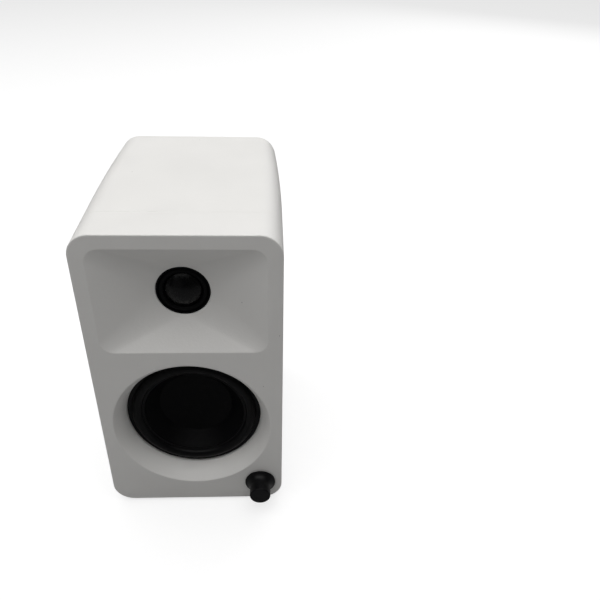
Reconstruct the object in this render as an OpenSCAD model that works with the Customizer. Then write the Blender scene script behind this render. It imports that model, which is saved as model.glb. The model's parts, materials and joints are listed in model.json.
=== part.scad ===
// Compact powered two-way bookshelf speaker, the one of the pair that holds the amplifier.
// Millimetres. +Z is up, the front faces -Y, and the origin is under the middle of the speaker.

/* [Cabinet] */
// Width of the cabinet across its front
cabinet_w = 100; // [98:1:130]
// Height of the cabinet without its feet
cabinet_h = 176; // [172:1:220]
// Depth of the cabinet from its front face to its rear face
cabinet_d = 135; // [112:1:180]
// Radius of the four long edges of the cabinet
corner_r = 11.4; // [7:0.2:13]
// Thickness of the top and bottom walls, and of the side walls where they are thinnest
wall = 9; // [7:0.5:10]
// Depth of the front baffle block
baffle_t = 25; // [21:0.5:30]
// Depth at which the sides begin to curve inwards
side_straight = 47; // [32:1:60]
// How far each side has curved in at the rear
side_curve = 2.9; // [1:0.1:5]
// Thickness of the rear panel
rear_panel_t = 9; // [6:0.5:12]
// Height of the rubber feet
foot_h = 2; // [1:0.5:6]
// Radius of the rubber feet
foot_r = 6; // [4:0.5:9]
// Distance of the feet's centres from the sides, the front and the rear
foot_inset = 14; // [12:1:20]

/* [Woofer] */
// Height of the woofer's centre above the cabinet's base
woofer_z = 57.8; // [57:0.2:60]
// Radius of the round recess at the front face
recess_r = 43.4; // [40:0.2:45]
// Radius of the recess at its seat, where the woofer shows
seat_r = 37.8; // [36.5:0.1:39]
// Depth of the recess from the front face to its seat
recess_d = 13.5; // [10:0.5:16]
// Radius of the woofer's frame
frame_r = 42; // [40:0.5:42.5]
// Radius of the circle on which the woofer's four screws stand
frame_screw_circle = 47; // [46:0.5:48]
// Thickness of the sheet steel of the woofer's frame
frame_t = 1.6; // [1:0.1:2]
// Thickness of the foam gasket behind the seat
gasket_t = 0.6; // [0.4:0.1:1]
// Radius of the cone's outer edge
cone_r = 29.3; // [28:0.1:30]
// Depth of the cone from its outer edge to its neck
cone_depth = 18; // [14:0.5:20]
// Radius of the dust cap
cap_r = 20.7; // [16:0.1:22]
// How far the middle of the hollow dust cap lies behind its edge
cap_sag = 4; // [2:0.5:5]
// Outer radius of the tube that the voice coil is wound on
former_r = 12.7; // [11:0.1:13]
// Radius of the woofer's magnet
magnet_r = 28; // [24:0.5:32]
// Thickness of the woofer's magnet
magnet_t = 10; // [8:0.5:14]
// Travel of the cone each way from rest
cone_travel = 3; // [1:0.5:3]

/* [Tweeter] */
// Distance of the tweeter's centre below the cabinet's top
tweeter_drop = 36.9; // [36:0.1:38]
// Width of the flared waveguide at the front face
guide_w = 85; // [70:0.5:88]
// Height of the flared waveguide at the front face
guide_h = 59; // [50:0.5:60]
// Radius of the waveguide's corners
guide_corner = 7; // [4:0.5:12]
// Depth of the waveguide from the front face to its throat
guide_d = 12.2; // [9:0.1:13]
// Radius of the waveguide's round throat
throat_r = 13.8; // [13.2:0.1:16]
// Radius of the tweeter's dome
dome_r = 9.8; // [9:0.1:10]
// Height of the tweeter's dome
dome_h = 4.2; // [3:0.1:4.5]
// Radius of the tweeter's mounting plate
plate_r = 20; // [19:0.5:21]
// Travel of the dome each way from rest
dome_travel = 0.3; // [0.1:0.1:0.4]

/* [Volume knob] */
// Distance of the knob's centre from the right-hand side of the cabinet
knob_inset = 12.75; // [12.5:0.05:14]
// Height of the knob's centre above the cabinet's base
knob_z = 14.45; // [13:0.05:15]
// Radius of the knob's flared skirt
skirt_r = 8.9; // [8:0.1:10]
// Radius of the knob's stem
stem_r = 6; // [5.4:0.1:7]
// Distance from the front face of the cabinet to the front of the knob
knob_reach = 12.5; // [11:0.5:18]
// Gap between the knob's skirt and the front face
knob_gap = 0.8; // [0.6:0.1:1.5]
// How far the knob is pressed in to work the switch
press_travel = 0.5; // [0.2:0.1:0.5]
// Radius of the encoder's shaft
shaft_r = 3; // [2.5:0.1:3.1]
// Thickness of wood left in front of the encoder
skin_t = 4; // [3:0.5:5]
// Width and height of the encoder's body
encoder_w = 12; // [11:0.5:12.5]

/* [Rear] */
// Width of the amplifier plate
amp_w = 68; // [66:1:72]
// Height of the amplifier plate
amp_h = 100; // [98:1:104]
// Height of the amplifier plate's lower edge above the cabinet's base
amp_base = 16; // [14:1:18]
// Thickness of the amplifier plate
amp_t = 2; // [1.5:0.5:3]
// Distance of the port's centre below the cabinet's top
port_drop = 33; // [32:1:36]
// Inner radius of the bass port
port_r = 13; // [10:0.5:14]
// Wall thickness of the bass port
port_wall = 2; // [1.5:0.5:3]
// Length of the bass port inside the cabinet
port_len = 60; // [40:1:65]
// Outer radius of a phono socket's shell
phono_r = 4.15; // [4.1:0.05:4.2]
// Length of a phono socket's shell behind the amplifier plate
phono_len = 8; // [7:0.5:10]
// Radius of the bore in the headphone-size input socket
aux_r = 1.8; // [1.76:0.01:1.85]
// Swing of a terminal lever when it is pressed
lever_swing = 14; // [8:1:14]
// Swing of the power rocker from off to on
rocker_swing = 24; // [16:1:24]

/* [Hidden] */

// How far a cutting tool runs past the face that it opens
over = 1;
// Thickness of the flat ends of a hull
film = 0.02;
// Gap round a piece that is dropped into a pocket
pocket_gap = 0.4;
// Radial clearance of a shaft or pin that turns in its bore
run_gap = 0.05;
// Segments of the large turned pieces, the small ones, and the long arc of the sides
fine = 96;
coarse = 40;
arc_fine = 720;

// Places of the main pieces, from the front face, the base and the middle
rear_reach = amp_t + phono_len;
front_y = -(cabinet_d + rear_reach - knob_reach) / 2;
tweeter_z = cabinet_h - tweeter_drop;
knob_x = cabinet_w / 2 - knob_inset;
port_z = cabinet_h - port_drop;
amp_z = amp_base + amp_h / 2;

// The sides' long arc and the straight hollow inside the shell
curve_len = cabinet_d - side_straight;
side_r = (pow(curve_len, 2) + pow(side_curve, 2)) / (2 * side_curve);
side_angle = asin(curve_len / (side_r - cabinet_w / 2)) + 1;
hollow_w = cabinet_w - 2 * (wall + side_curve);
hollow_h = cabinet_h - 2 * wall;
hollow_corner = 3;

// Woofer: depths behind the front face
frame_d = recess_d + gasket_t;
frame_back = frame_d + frame_t;
ear_r = 4.5;
ear_angles = [60, 120, 240, 300];
woofer_head_r = 3;
woofer_head_t = 2;
woofer_screw_r = 1.5;
woofer_screw_len = 10;
rim_w = 2.5;
rim_t = 1.6;
roll_r = (seat_r - rim_w - cone_r) / 2;
roll_t = 0.6;
edge_d = recess_d - 0.6;
lip_w = 1.2;
cone_t = 0.8;
neck_d = edge_d + cone_depth;
cone_fall = cone_depth / (cone_r - cone_t - former_r);
cap_d = edge_d + (cone_r - cone_t - cap_r) * cone_fall;
cap_t = 0.6;
spider_d = neck_d + 2;
spider_t = 0.6;
spider_r = 27;
spider_folds = 6;
spider_wave = 0.8;
ledge_w = 2;
cage_t = 1.2;
cage_top_r = 35;
cage_foot_r = magnet_r - 4;
basket_back = neck_d + 8.3;
gap_plate_t = 4;
magnet_d = basket_back + gap_plate_t;
yoke_d = magnet_d + magnet_t;
coil_gap = 0.5;
coil_t = 0.8;
coil_len = 7;
former_t = 0.3;
pole_gap = 0.5;
bore_gap = 4;
top_plate_inset = 2;
yoke_inset = 1.5;
window_w = 24;
window_rim = 2;
strip_w = 14;
strip_r = frame_r - 5;
strip_len = 13;
strip_t = 1.5;
tag_x = 3.5;
tag_len = 5;
tag_w = 2;
tag_t = 0.5;
tinsel_r = 0.35;

// Tweeter: depths behind the front face
tweeter_seat = guide_d + 1.8;
plate_t = 2;
plate_back = tweeter_seat + plate_t;
plate_ear_circle = plate_r + 2.5;
plate_ear_r = 3.5;
plate_screws = [-plate_ear_circle, plate_ear_circle];
tweeter_head_r = 2.4;
tweeter_head_t = 1.5;
tweeter_screw_r = 1.2;
tweeter_screw_len = 5.2;
nose_gap = 0.2;
nose_t = 0.6;
nose_d = guide_d + 0.2;
silk_t = 0.3;
nose_r = throat_r - nose_gap;
silk_rim_w = 0.4;
silk_roll_r = (nose_r - nose_t - silk_rim_w - dome_r) / 2;
tweeter_coil_gap = 0.4;
tweeter_coil_t = 0.5;
tweeter_gap_plate_t = 2.5;
tweeter_magnet_t = 6;
tweeter_magnet_r = 18;
tweeter_magnet_d = plate_back + tweeter_gap_plate_t;
tweeter_yoke_d = tweeter_magnet_d + tweeter_magnet_t;
tweeter_pole_r = dome_r - tweeter_coil_t - 0.3;
tweeter_bore_gap = 2;
tweeter_rim = 1;
felt_t = 0.8;
tweeter_strip_w = 10;
tweeter_strip_t = 1.2;
tweeter_strip_z = tweeter_z - plate_r + 0.4;
tweeter_tag_x = 2.5;
tweeter_tag_w = 1.6;
tweeter_tag_len = 4;

// Encoder and knob: depths behind the front face, so those in front of it are negative
bush_r = shaft_r + run_gap + 0.45;
bush_reach = 3;
washer_t = 0.5;
nut_t = 2;
nut_w = 9;
body_t = 7.5;
body_floor = 0.9;
shaft_foot = skin_t + 3.5;
actuator_t = 2.3;
board_t = 1.2;
plug_w = 8;
plug_h = 4.5;
plug_len = 5;
plug_x = knob_x - 1;
plug_z = knob_z + 2;
shaft_tip = -knob_reach + 1.3;
flat_depth = 1.5;
knob_rim_t = 0.6;
knob_bevel = 0.6;
flare_start = 0.2 - knob_reach / 2;
nut_room_r = 5.6;
nut_room_d = -(bush_reach + press_travel + 0.4);

// Rear: depths behind the front face
panel_d = cabinet_d - rear_panel_t;
plate_face = cabinet_d + amp_t;
window_border = 5;
amp_corner = 3;
board_d = cabinet_d - 16;
board_thick = 1.6;
board_back = board_d + board_thick;
board_margin = 7;
standoff_r = 2.4;
standoff_inset = board_margin + 3;
flare_r = 5;
flange_t = 2;
flange_w = 4;
flange_bevel = 0.6;
socket_floor = 2;
socket_lip = 1.5;

// Six screws along the two sides of the amplifier plate
amp_head_r = 2.2;
amp_head_t = 1.4;
amp_screw_r = 1.2;
amp_screw_len = 8;
amp_screws = [for (x = [-1, 1], z = [-1, 0, 1]) [x * (amp_w / 2 - 2.5), amp_z + z * (amp_h / 2 - 4)]];

// The sockets' row near the plate's top, with the phono shells stepped behind their rings
phono_x = [-16, 1];
phono_z = amp_base + amp_h - 20;
phono_neck_r = phono_r - 0.3;
phono_core_r = 3.2;
phono_hole_r = 1.65;
phono_hole_len = phono_len + 1;
phono_ring_r = phono_r + 2;
phono_ring_t = 1.4;
aux_x = 17;
aux_neck_r = 3;
aux_flange_r = 4;
aux_body_r = 4.2;

// The terminal's row in the middle of the plate
terminal_z = amp_z + 7;
terminal_w = 34;
terminal_h = 20;
terminal_corner = 1.5;
terminal_step = 2;
slot_floor = 0.6;
lever_x = 8;
lever_w = 9.2;
lever_t = 2.5;
lever_len = 10;
lever_lip = 3;
lever_gap = 0.4;
terminal_t = slot_floor + lever_len * sin(lever_swing) + lever_t + lever_gap;
wire_hole_r = 1.2;
wire_hole_rise = 3;
wire_hole_len = 10;
hinge_r = 1;
hinge_drop = 3;
hinge_reach = 1.2;
hinge_end_gap = 0.2;
hinge_d = plate_face + terminal_t - lever_t / 2;

// The power row near the plate's foot
switch_x = -15;
switch_z = amp_base + 25;
bezel_w = 15;
bezel_h = 21;
bezel_t = 1.5;
bezel_step = 1;
case_room = 8;
rocker_w = 10;
rocker_half = 7.2;
rocker_foot = 5.2;
rocker_face = 4.2;
rocker_valley = 2.7;
rocker_under = 3;
rocker_room = 8.4;
rocker_d = plate_face - 1;
axle_reach = 1;
inlet_x = 15;
inlet_r = 2.85;
inlet_pin_r = 1.05;
inlet_neck_r = 4.5;
inlet_flange_r = 5.5;
inlet_body = [11, 12];
inlet_depth = 8;

// Pieces on the amplifier board, and the wadding
fins = 7;
fin_pitch = 4;
fin_t = 1.4;
sink_base = 4;
sink_depth = 18;
sink_h = 36;
sink_x = -24;
sink_z = amp_base + 12;
can_x = 15;
can_r = 6.5;
can_len = 20;
can_z = [amp_base + 44, amp_base + 60];
coil_z = amp_base + 24;
coil_ring_r = 7;
coil_wire_r = 3.2;
coil_lift = 0.3;
pad_t = 5;
pad_margin = 12;
pad_front = 17;
pad_rear = 13;
lead_r = 0.8;
encoder_lead_r = 1.2;

// Points along an arc, with angles from the x axis
function arc(x, y, r, a0, a1, n) = [for (i = [0:n]) let (a = a0 + (a1 - a0) * i / n)
    [x + r * cos(a), y + r * sin(a)]];
// Radius of a sphere from the radius and height of a cap cut from it
function cap_sphere(r, h) = (r * r + h * h) / (2 * h);

// A rounded rectangle round the origin
module rounded(w, h, r) {
    square([w - 2 * r, h], center = true);
    square([w, h - 2 * r], center = true);
    for (x = [-1, 1], y = [-1, 1])
        translate([x * (w / 2 - r), y * (h / 2 - r)]) circle(r, $fn = 64);
}

// Turns a [radius, depth] outline round a front-to-back axis
module turned(x, z, facets = fine) {
    translate([x, front_y, foot_h + z]) rotate([-90, 0, 0]) rotate_extrude($fn = facets) children();
}

// A ring, or a disc where the inner radius is zero, from one depth to another
module ring(x, z, inner, outer, near, far, facets = fine) {
    turned(x, z, facets) translate([inner, near]) square([outer - inner, far - near]);
}

// Extrudes an outline drawn in the front view, from one depth to another
module slab(near, far, x = 0, z = 0) {
    translate([x, front_y + far, foot_h + z]) rotate([90, 0, 0]) linear_extrude(far - near) children();
}

// Repeats a piece round a front-to-back axis, with its own +X pointing outwards
module around(x, z, angles) {
    for (a = angles)
        translate([x, front_y, foot_h + z]) rotate([0, -a, 0]) children();
}

// A wire through [x, depth, z] points: an eight-sided ring square to the run at each point
module wire(points, r) {
    sides = 8;
    last = len(points) - 1;
    rings = [for (i = [0:last]) let (
        run = points[min(i + 1, last)] - points[max(i - 1, 0)],
        across = cross(run, [1, 0, 0]) / norm(cross(run, [1, 0, 0])),
        upright = cross(run, across) / norm(run)
    ) for (k = [0:sides - 1])
        points[i] + r * cos(360 * k / sides) * across + r * sin(360 * k / sides) * upright];
    walls = [for (i = [0:last - 1], k = [0:sides - 1]) let (
        a = i * sides + k, b = i * sides + (k + 1) % sides
    ) each [[a, a + sides, b + sides], [a, b + sides, b]]];
    near = [for (k = [0:sides - 1]) k];
    far = [for (k = [sides - 1:-1:0]) last * sides + k];
    translate([0, front_y, foot_h]) polyhedron(rings, concat(walls, [near, far]));
}

// A thin shell cut from a sphere, as a [radius, depth] outline, with its middle at the given depth
module cap_outline(r, h, thick, middle, forwards) {
    big = cap_sphere(r, h);
    half = asin(r / big);
    turn = forwards ? 1 : -1;
    polygon(concat(
        [for (p = arc(0, 0, big, 90, 90 - half, 14)) [max(p.x, 0), middle + turn * (big - p.y)]],
        [for (p = arc(0, 0, big - thick, 90 - half, 90, 14)) [max(p.x, 0), middle + turn * (big - p.y)]]
    ));
}

// A pan-head screw along the depth: a head at one depth and a shank towards the front
module screw_outline(head_r, head_t, shank_r, shank_len, seat) {
    translate([0, seat]) square([head_r, head_t]);
    translate([0, seat - shank_len]) square([shank_r, shank_len]);
}

/* Cabinet */

module cabinet_outline() {
    translate([0, cabinet_h / 2]) rounded(cabinet_w, cabinet_h, corner_r);
}

module hollow_outline() {
    translate([0, cabinet_h / 2]) rounded(hollow_w, hollow_h, hollow_corner);
}

// The right-hand half of the rear, whose side bends inwards round a distant upright axis
module curved_half() {
    intersection() {
        translate([cabinet_w / 2 - side_r, front_y + side_straight, foot_h])
            rotate_extrude(angle = side_angle, $fn = arc_fine)
                translate([side_r - cabinet_w / 2, 0]) intersection() {
                    cabinet_outline();
                    square([cabinet_w / 2, cabinet_h]);
                }
        translate([0, front_y + side_straight, foot_h]) cube([cabinet_w, curve_len, cabinet_h]);
    }
}

module cabinet_shell() {
    color([0.87, 0.86, 0.83]) difference() {
        union() {
            slab(baffle_t, side_straight) cabinet_outline();
            curved_half();
            mirror([1, 0, 0]) curved_half();
        }
        slab(baffle_t - over, cabinet_d + over) hollow_outline();
    }
}

// The frame's outline: a disc with four screw ears
module frame_outline(gap = 0) {
    circle(frame_r + gap, $fn = fine);
    for (a = ear_angles)
        rotate(a) {
            translate([0, -ear_r - gap]) square([frame_screw_circle, 2 * (ear_r + gap)]);
            translate([frame_screw_circle, 0]) circle(ear_r + gap, $fn = coarse);
        }
}

// The tweeter plate's outline: a disc with a screw ear on each side
module plate_outline(gap = 0) {
    circle(plate_r + gap, $fn = fine);
    square([2 * plate_ear_circle, 2 * (plate_ear_r + gap)], center = true);
    for (x = plate_screws) translate([x, 0]) circle(plate_ear_r + gap, $fn = coarse);
}

module waveguide_hollow() {
    hull() {
        slab(-film, 0, 0, tweeter_z) rounded_facets(guide_w, guide_h, guide_corner);
        slab(guide_d, guide_d + film, 0, tweeter_z) circle(throat_r, $fn = 48);
    }
}

// A rounded rectangle with few facets, for the end of a hull
module rounded_facets(w, h, r) {
    for (x = [-1, 1], y = [-1, 1])
        translate([x * (w / 2 - r), y * (h / 2 - r)]) circle(r, $fn = 32);
}

module front_baffle() {
    color([0.87, 0.86, 0.83]) difference() {
        slab(0, baffle_t) cabinet_outline();
        turned(0, woofer_z) polygon([[0, -over],
            [recess_r + over * (recess_r - seat_r) / recess_d, -over], [seat_r, recess_d], [0, recess_d]]);
        ring(0, woofer_z, 0, seat_r, recess_d - over, baffle_t);
        slab(recess_d, baffle_t + over, 0, woofer_z) frame_outline(pocket_gap);
        waveguide_hollow();
        ring(0, tweeter_z, 0, throat_r, guide_d, tweeter_seat + over);
        slab(tweeter_seat, baffle_t + over, 0, tweeter_z) plate_outline(pocket_gap);
        slab(skin_t, baffle_t + over, knob_x, knob_z)
            rounded(encoder_w + 5 * pocket_gap, encoder_w + 5 * pocket_gap, 1);
        ring(knob_x, knob_z, 0, bush_r, -over, skin_t + over, coarse);
        woofer_screw_shapes();
        tweeter_screw_shapes();
    }
}

module rear_panel() {
    color([0.55, 0.47, 0.36]) difference() {
        slab(panel_d, cabinet_d) hollow_outline();
        slab(panel_d - over, cabinet_d + over, 0, amp_z)
            rounded(amp_w - 2 * window_border, amp_h - 2 * window_border, amp_corner);
        ring(0, port_z, 0, port_r + port_wall, panel_d - over, cabinet_d + over);
        amp_screw_shapes();
    }
}

// A straight tube that flares out to a flange on the rear panel
module port_tube() {
    flange_r = port_r + port_wall + flange_w;
    mouth = cabinet_d + flange_t;
    start = cabinet_d - port_len;
    color([0.06, 0.06, 0.06]) turned(0, port_z) polygon(concat(
        [[port_r, start], [port_r + port_wall, start], [port_r + port_wall, cabinet_d],
            [flange_r, cabinet_d], [flange_r, mouth - flange_bevel], [flange_r - flange_bevel, mouth]],
        arc(port_r + flare_r, mouth - flare_r, flare_r, 90, 180, 8)
    ));
}

// A pad of wadding on the inside of each side wall
module damping_pads() {
    color([0.85, 0.85, 0.8]) for (x = [-hollow_w / 2, hollow_w / 2 - pad_t])
        translate([x, front_y + baffle_t + pad_front, foot_h + wall + pad_margin])
            cube([pad_t, panel_d - pad_rear - baffle_t - pad_front, hollow_h - 2 * pad_margin]);
}

module foot(side, end) {
    y = end < 0 ? front_y + foot_inset : front_y + cabinet_d - foot_inset;
    color([0.05, 0.05, 0.05]) translate([side * (cabinet_w / 2 - foot_inset), y, 0]) {
        translate([0, 0, foot_h / 2]) cylinder(h = foot_h / 2, r = foot_r, $fn = coarse);
        cylinder(h = foot_h / 2, r1 = foot_r - foot_h / 4, r2 = foot_r, $fn = coarse);
    }
}

/* Woofer */

module woofer_gasket() {
    color([0.08, 0.08, 0.08]) slab(recess_d, frame_d, 0, woofer_z) difference() {
        frame_outline();
        circle(seat_r, $fn = fine);
        frame_screw_holes();
    }
}

module frame_screw_holes() {
    for (a = ear_angles)
        rotate(a) translate([frame_screw_circle, 0]) circle(woofer_screw_r, $fn = coarse);
}

module woofer_screw_shapes() {
    for (a = ear_angles)
        turned(frame_screw_circle * cos(a), woofer_z + frame_screw_circle * sin(a), coarse)
            screw_outline(woofer_head_r, woofer_head_t, woofer_screw_r, woofer_screw_len, frame_back);
}

module woofer_screws() {
    color([0.15, 0.15, 0.16]) woofer_screw_shapes();
}

// The radius of the basket's cage at a depth, on its inner side
function cage_r(d) = cage_top_r + (spider_r - cage_top_r) * (d - frame_d) / (spider_d - frame_d);

module woofer_basket() {
    ledge_d = spider_d + spider_t;
    color([0.1, 0.1, 0.11]) difference() {
        union() {
            slab(frame_d, frame_back, 0, woofer_z) difference() {
                frame_outline();
                circle(cage_top_r, $fn = fine);
                frame_screw_holes();
            }
            turned(0, woofer_z) polygon([[cage_top_r, frame_d], [cage_top_r + cage_t, frame_d],
                [spider_r + cage_t, spider_d], [spider_r + cage_t, ledge_d + cage_t],
                [cage_foot_r, basket_back - cage_t], [cage_foot_r, basket_back],
                [former_r + bore_gap, basket_back], [former_r + bore_gap, basket_back - cage_t],
                [cage_foot_r - 2 * cage_t, basket_back - cage_t],
                [spider_r - ledge_w, ledge_d + cage_t], [spider_r - ledge_w, ledge_d],
                [spider_r, ledge_d], [spider_r, spider_d]]);
        }
        around(0, woofer_z, [0, 90, 180, 270])
            translate([cage_foot_r, frame_back + window_rim, -window_w / 2])
                cube([cage_top_r, spider_d - frame_back - 2 * window_rim, window_w]);
    }
}

// Half-roll rubber surround, with a thick rim on the frame and a lip on the cone's edge
module woofer_surround() {
    middle = cone_r + roll_r;
    color([0.04, 0.04, 0.04]) turned(0, woofer_z) {
        polygon(concat(arc(middle, edge_d, roll_r, 180, 360, 16),
            arc(middle, edge_d, roll_r - roll_t, 360, 180, 16)));
        translate([middle + roll_r - roll_t, frame_d - rim_t])
            square([seat_r - 0.2 - middle - roll_r + roll_t, rim_t]);
        translate([cone_r - lip_w, edge_d - roll_t]) square([lip_w + roll_t, roll_t]);
    }
}

module woofer_cone() {
    color([0.05, 0.05, 0.05]) turned(0, woofer_z) polygon([[cone_r - cone_t, edge_d], [cone_r, edge_d],
        [cone_r, edge_d + cone_t], [cone_r - 0.1, edge_d + cone_t],
        [former_r + cone_t, neck_d], [former_r, neck_d]]);
}

// Hollow dust cap, whose edge is cut to the slope of the cone
module woofer_dust_cap() {
    color([0.05, 0.05, 0.05]) turned(0, woofer_z) intersection() {
        cap_outline(cap_r + 1, cap_sag, cap_t, cap_d + cap_sag, false);
        polygon([[0, 0], [cone_r - cone_t, edge_d], [former_r, neck_d], [0, neck_d]]);
    }
}

module woofer_coil_former() {
    color([0.72, 0.55, 0.3]) ring(0, woofer_z, former_r - former_t, former_r,
        neck_d - 1, basket_back + gap_plate_t + cone_travel);
}

module woofer_voice_coil() {
    middle = basket_back + gap_plate_t / 2;
    color([0.7, 0.36, 0.16]) ring(0, woofer_z, former_r, former_r + coil_t,
        middle - coil_len / 2, middle + coil_len / 2);
}

// Corrugated disc that centres the coil
module woofer_spider() {
    turns = 2 * spider_folds;
    zigzag = [for (i = [0:turns])
        [former_r + (spider_r - former_r) * i / turns, (i % 2) * -spider_wave]];
    back = [for (i = [turns:-1:0]) zigzag[i] + [0, spider_t]];
    color([0.75, 0.6, 0.25]) turned(0, woofer_z) translate([0, spider_d])
        polygon(concat(zigzag, back));
}

module woofer_top_plate() {
    color([0.6, 0.6, 0.62]) ring(0, woofer_z, former_r + coil_t + coil_gap, magnet_r - top_plate_inset,
        basket_back, magnet_d);
}

module woofer_magnet() {
    color([0.2, 0.2, 0.21]) ring(0, woofer_z, former_r + bore_gap, magnet_r, magnet_d, yoke_d);
}

module woofer_yoke() {
    color([0.6, 0.6, 0.62]) turned(0, woofer_z) {
        translate([0, basket_back]) square([former_r - former_t - pole_gap, magnet_t + gap_plate_t]);
        translate([0, yoke_d]) square([magnet_r - yoke_inset, gap_plate_t]);
    }
}

// A board on the frame's back with two solder tags
module woofer_terminals() {
    translate([0, front_y + frame_back, foot_h + woofer_z + strip_r]) {
        color([0.45, 0.27, 0.12]) translate([-strip_w / 2, 0, 0]) cube([strip_w, strip_len, strip_t]);
        color([0.8, 0.78, 0.7]) for (x = [-tag_x, tag_x])
            translate([x - tag_w / 2, strip_len - 1, -tag_t]) cube([tag_w, tag_len, tag_t]);
    }
}

// Two flexible leads from the tags to the back of the cone
module woofer_tinsel_leads() {
    start_d = frame_back + strip_len + 1;
    reach = 6;
    end_r = former_r + reach;
    end_d = neck_d - (reach - cone_t) * cone_fall + 2 * tinsel_r + 0.2;
    color([0.75, 0.5, 0.3]) for (side = [-1, 1])
        wire([[side * tag_x, start_d, woofer_z + strip_r - tag_t - tinsel_r],
            [side * tag_x, start_d - 2, woofer_z + (strip_r + end_r) / 2],
            [side * tag_x, end_d, woofer_z + end_r]], tinsel_r);
}

/* Tweeter */

module tweeter_plate() {
    color([0.05, 0.05, 0.05]) {
        slab(tweeter_seat, plate_back, 0, tweeter_z) difference() {
            plate_outline();
            circle(nose_r - nose_t - 1, $fn = fine);
            for (x = plate_screws) translate([x, 0]) circle(tweeter_screw_r, $fn = coarse);
        }
        ring(0, tweeter_z, nose_r - nose_t, nose_r, nose_d, tweeter_seat);
    }
}

module tweeter_surround() {
    middle = dome_r + silk_roll_r;
    base = tweeter_seat;
    color([0.05, 0.05, 0.05]) turned(0, tweeter_z) {
        polygon(concat(arc(middle, base, silk_roll_r, 180, 360, 12),
            arc(middle, base, silk_roll_r - silk_t, 360, 180, 12)));
        translate([middle + silk_roll_r - silk_t, base - silk_t])
            square([silk_rim_w + silk_t, silk_t]);
    }
}

// The dome is cut off flat at its foot, where it sits on the coil
module tweeter_dome() {
    color([0.05, 0.05, 0.05]) turned(0, tweeter_z) intersection() {
        cap_outline(dome_r, dome_h, silk_t, tweeter_seat - dome_h, true);
        translate([0, tweeter_seat - dome_h]) square([dome_r, dome_h]);
    }
}

module tweeter_voice_coil() {
    color([0.7, 0.36, 0.16]) ring(0, tweeter_z, dome_r - tweeter_coil_t, dome_r - 0.02,
        tweeter_seat, tweeter_magnet_d + dome_travel + 0.7, fine);
}

module tweeter_top_plate() {
    color([0.6, 0.6, 0.62]) ring(0, tweeter_z, dome_r + tweeter_coil_gap, tweeter_magnet_r - tweeter_rim,
        plate_back, tweeter_magnet_d);
}

module tweeter_magnet() {
    color([0.2, 0.2, 0.21]) ring(0, tweeter_z, dome_r + tweeter_bore_gap, tweeter_magnet_r,
        tweeter_magnet_d, tweeter_yoke_d);
}

module tweeter_yoke() {
    color([0.6, 0.6, 0.62]) turned(0, tweeter_z) {
        translate([0, plate_back]) square([tweeter_pole_r, tweeter_gap_plate_t + tweeter_magnet_t]);
        translate([0, tweeter_yoke_d]) square([tweeter_magnet_r - tweeter_rim, tweeter_gap_plate_t]);
    }
}

module tweeter_felt() {
    color([0.3, 0.3, 0.3]) ring(0, tweeter_z, 0, tweeter_pole_r - 1, plate_back - felt_t, plate_back);
}

module tweeter_terminals() {
    translate([0, front_y + plate_back, foot_h + tweeter_strip_z]) {
        color([0.45, 0.27, 0.12]) translate([-tweeter_strip_w / 2, 0, 0])
            cube([tweeter_strip_w, tweeter_strip_w, tweeter_strip_t]);
        color([0.8, 0.78, 0.7]) for (x = [-tweeter_tag_x, tweeter_tag_x])
            translate([x - tweeter_tag_w / 2, tweeter_strip_w - 1, -tag_t])
                cube([tweeter_tag_w, tweeter_tag_len, tag_t]);
    }
}

module tweeter_screw_shapes() {
    for (x = plate_screws) turned(x, tweeter_z, coarse)
        screw_outline(tweeter_head_r, tweeter_head_t, tweeter_screw_r, tweeter_screw_len, plate_back);
}

module tweeter_screws() {
    color([0.15, 0.15, 0.16]) tweeter_screw_shapes();
}

/* Volume knob and encoder */

// The flare is an arc that starts along the stem and reaches the skirt's radius at its rim
module volume_knob() {
    rise = skirt_r - stem_r;
    run = -knob_gap - knob_rim_t - flare_start;
    sweep_r = (pow(rise, 2) + pow(run, 2)) / (2 * rise);
    sweep = asin(run / sweep_r);
    color([0.04, 0.04, 0.04]) difference() {
        turned(knob_x, knob_z) polygon(concat(
            [[0, -knob_gap], [0, -knob_reach], [stem_r - knob_bevel, -knob_reach],
                [stem_r, knob_bevel - knob_reach]],
            arc(stem_r + sweep_r, flare_start, sweep_r, 180, 180 - sweep, 12),
            [[skirt_r, -knob_gap]]
        ));
        ring(knob_x, knob_z, 0, nut_room_r, nut_room_d, over - knob_gap, coarse);
        shaft_shape(shaft_tip, over);
    }
}

// The shaft's round body with the flat that drives the knob
module shaft_shape(near, far) {
    difference() {
        ring(knob_x, knob_z, 0, shaft_r, near, far, coarse);
        translate([knob_x - shaft_r - over, front_y + near - over, foot_h + knob_z + shaft_r - flat_depth])
            cube([2 * (shaft_r + over), -bush_reach - 1 - near + over, flat_depth + over]);
    }
}

module encoder_shaft() {
    color([0.75, 0.75, 0.76]) shaft_shape(shaft_tip, shaft_foot);
}

module encoder_actuator() {
    color([0.9, 0.9, 0.85]) ring(knob_x, knob_z, 0, shaft_r - 0.3, shaft_foot,
        shaft_foot + actuator_t, coarse);
}

module encoder_bush() {
    color([0.78, 0.74, 0.62]) ring(knob_x, knob_z, shaft_r + run_gap, bush_r, -bush_reach, skin_t, coarse);
}

module encoder_body() {
    color([0.2, 0.3, 0.2]) difference() {
        slab(skin_t, skin_t + body_t, knob_x, knob_z) square(encoder_w, center = true);
        ring(knob_x, knob_z, 0, shaft_r + run_gap, skin_t - over, skin_t + body_t - body_floor, coarse);
    }
}

module encoder_washer() {
    color([0.8, 0.8, 0.8]) ring(knob_x, knob_z, bush_r, nut_w / 2, -washer_t, 0, coarse);
}

module encoder_nut() {
    color([0.8, 0.78, 0.7]) slab(-washer_t - nut_t, -washer_t, knob_x, knob_z) difference() {
        circle(nut_w / 2 / cos(30), $fn = 6);
        circle(bush_r, $fn = coarse);
    }
}

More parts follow.
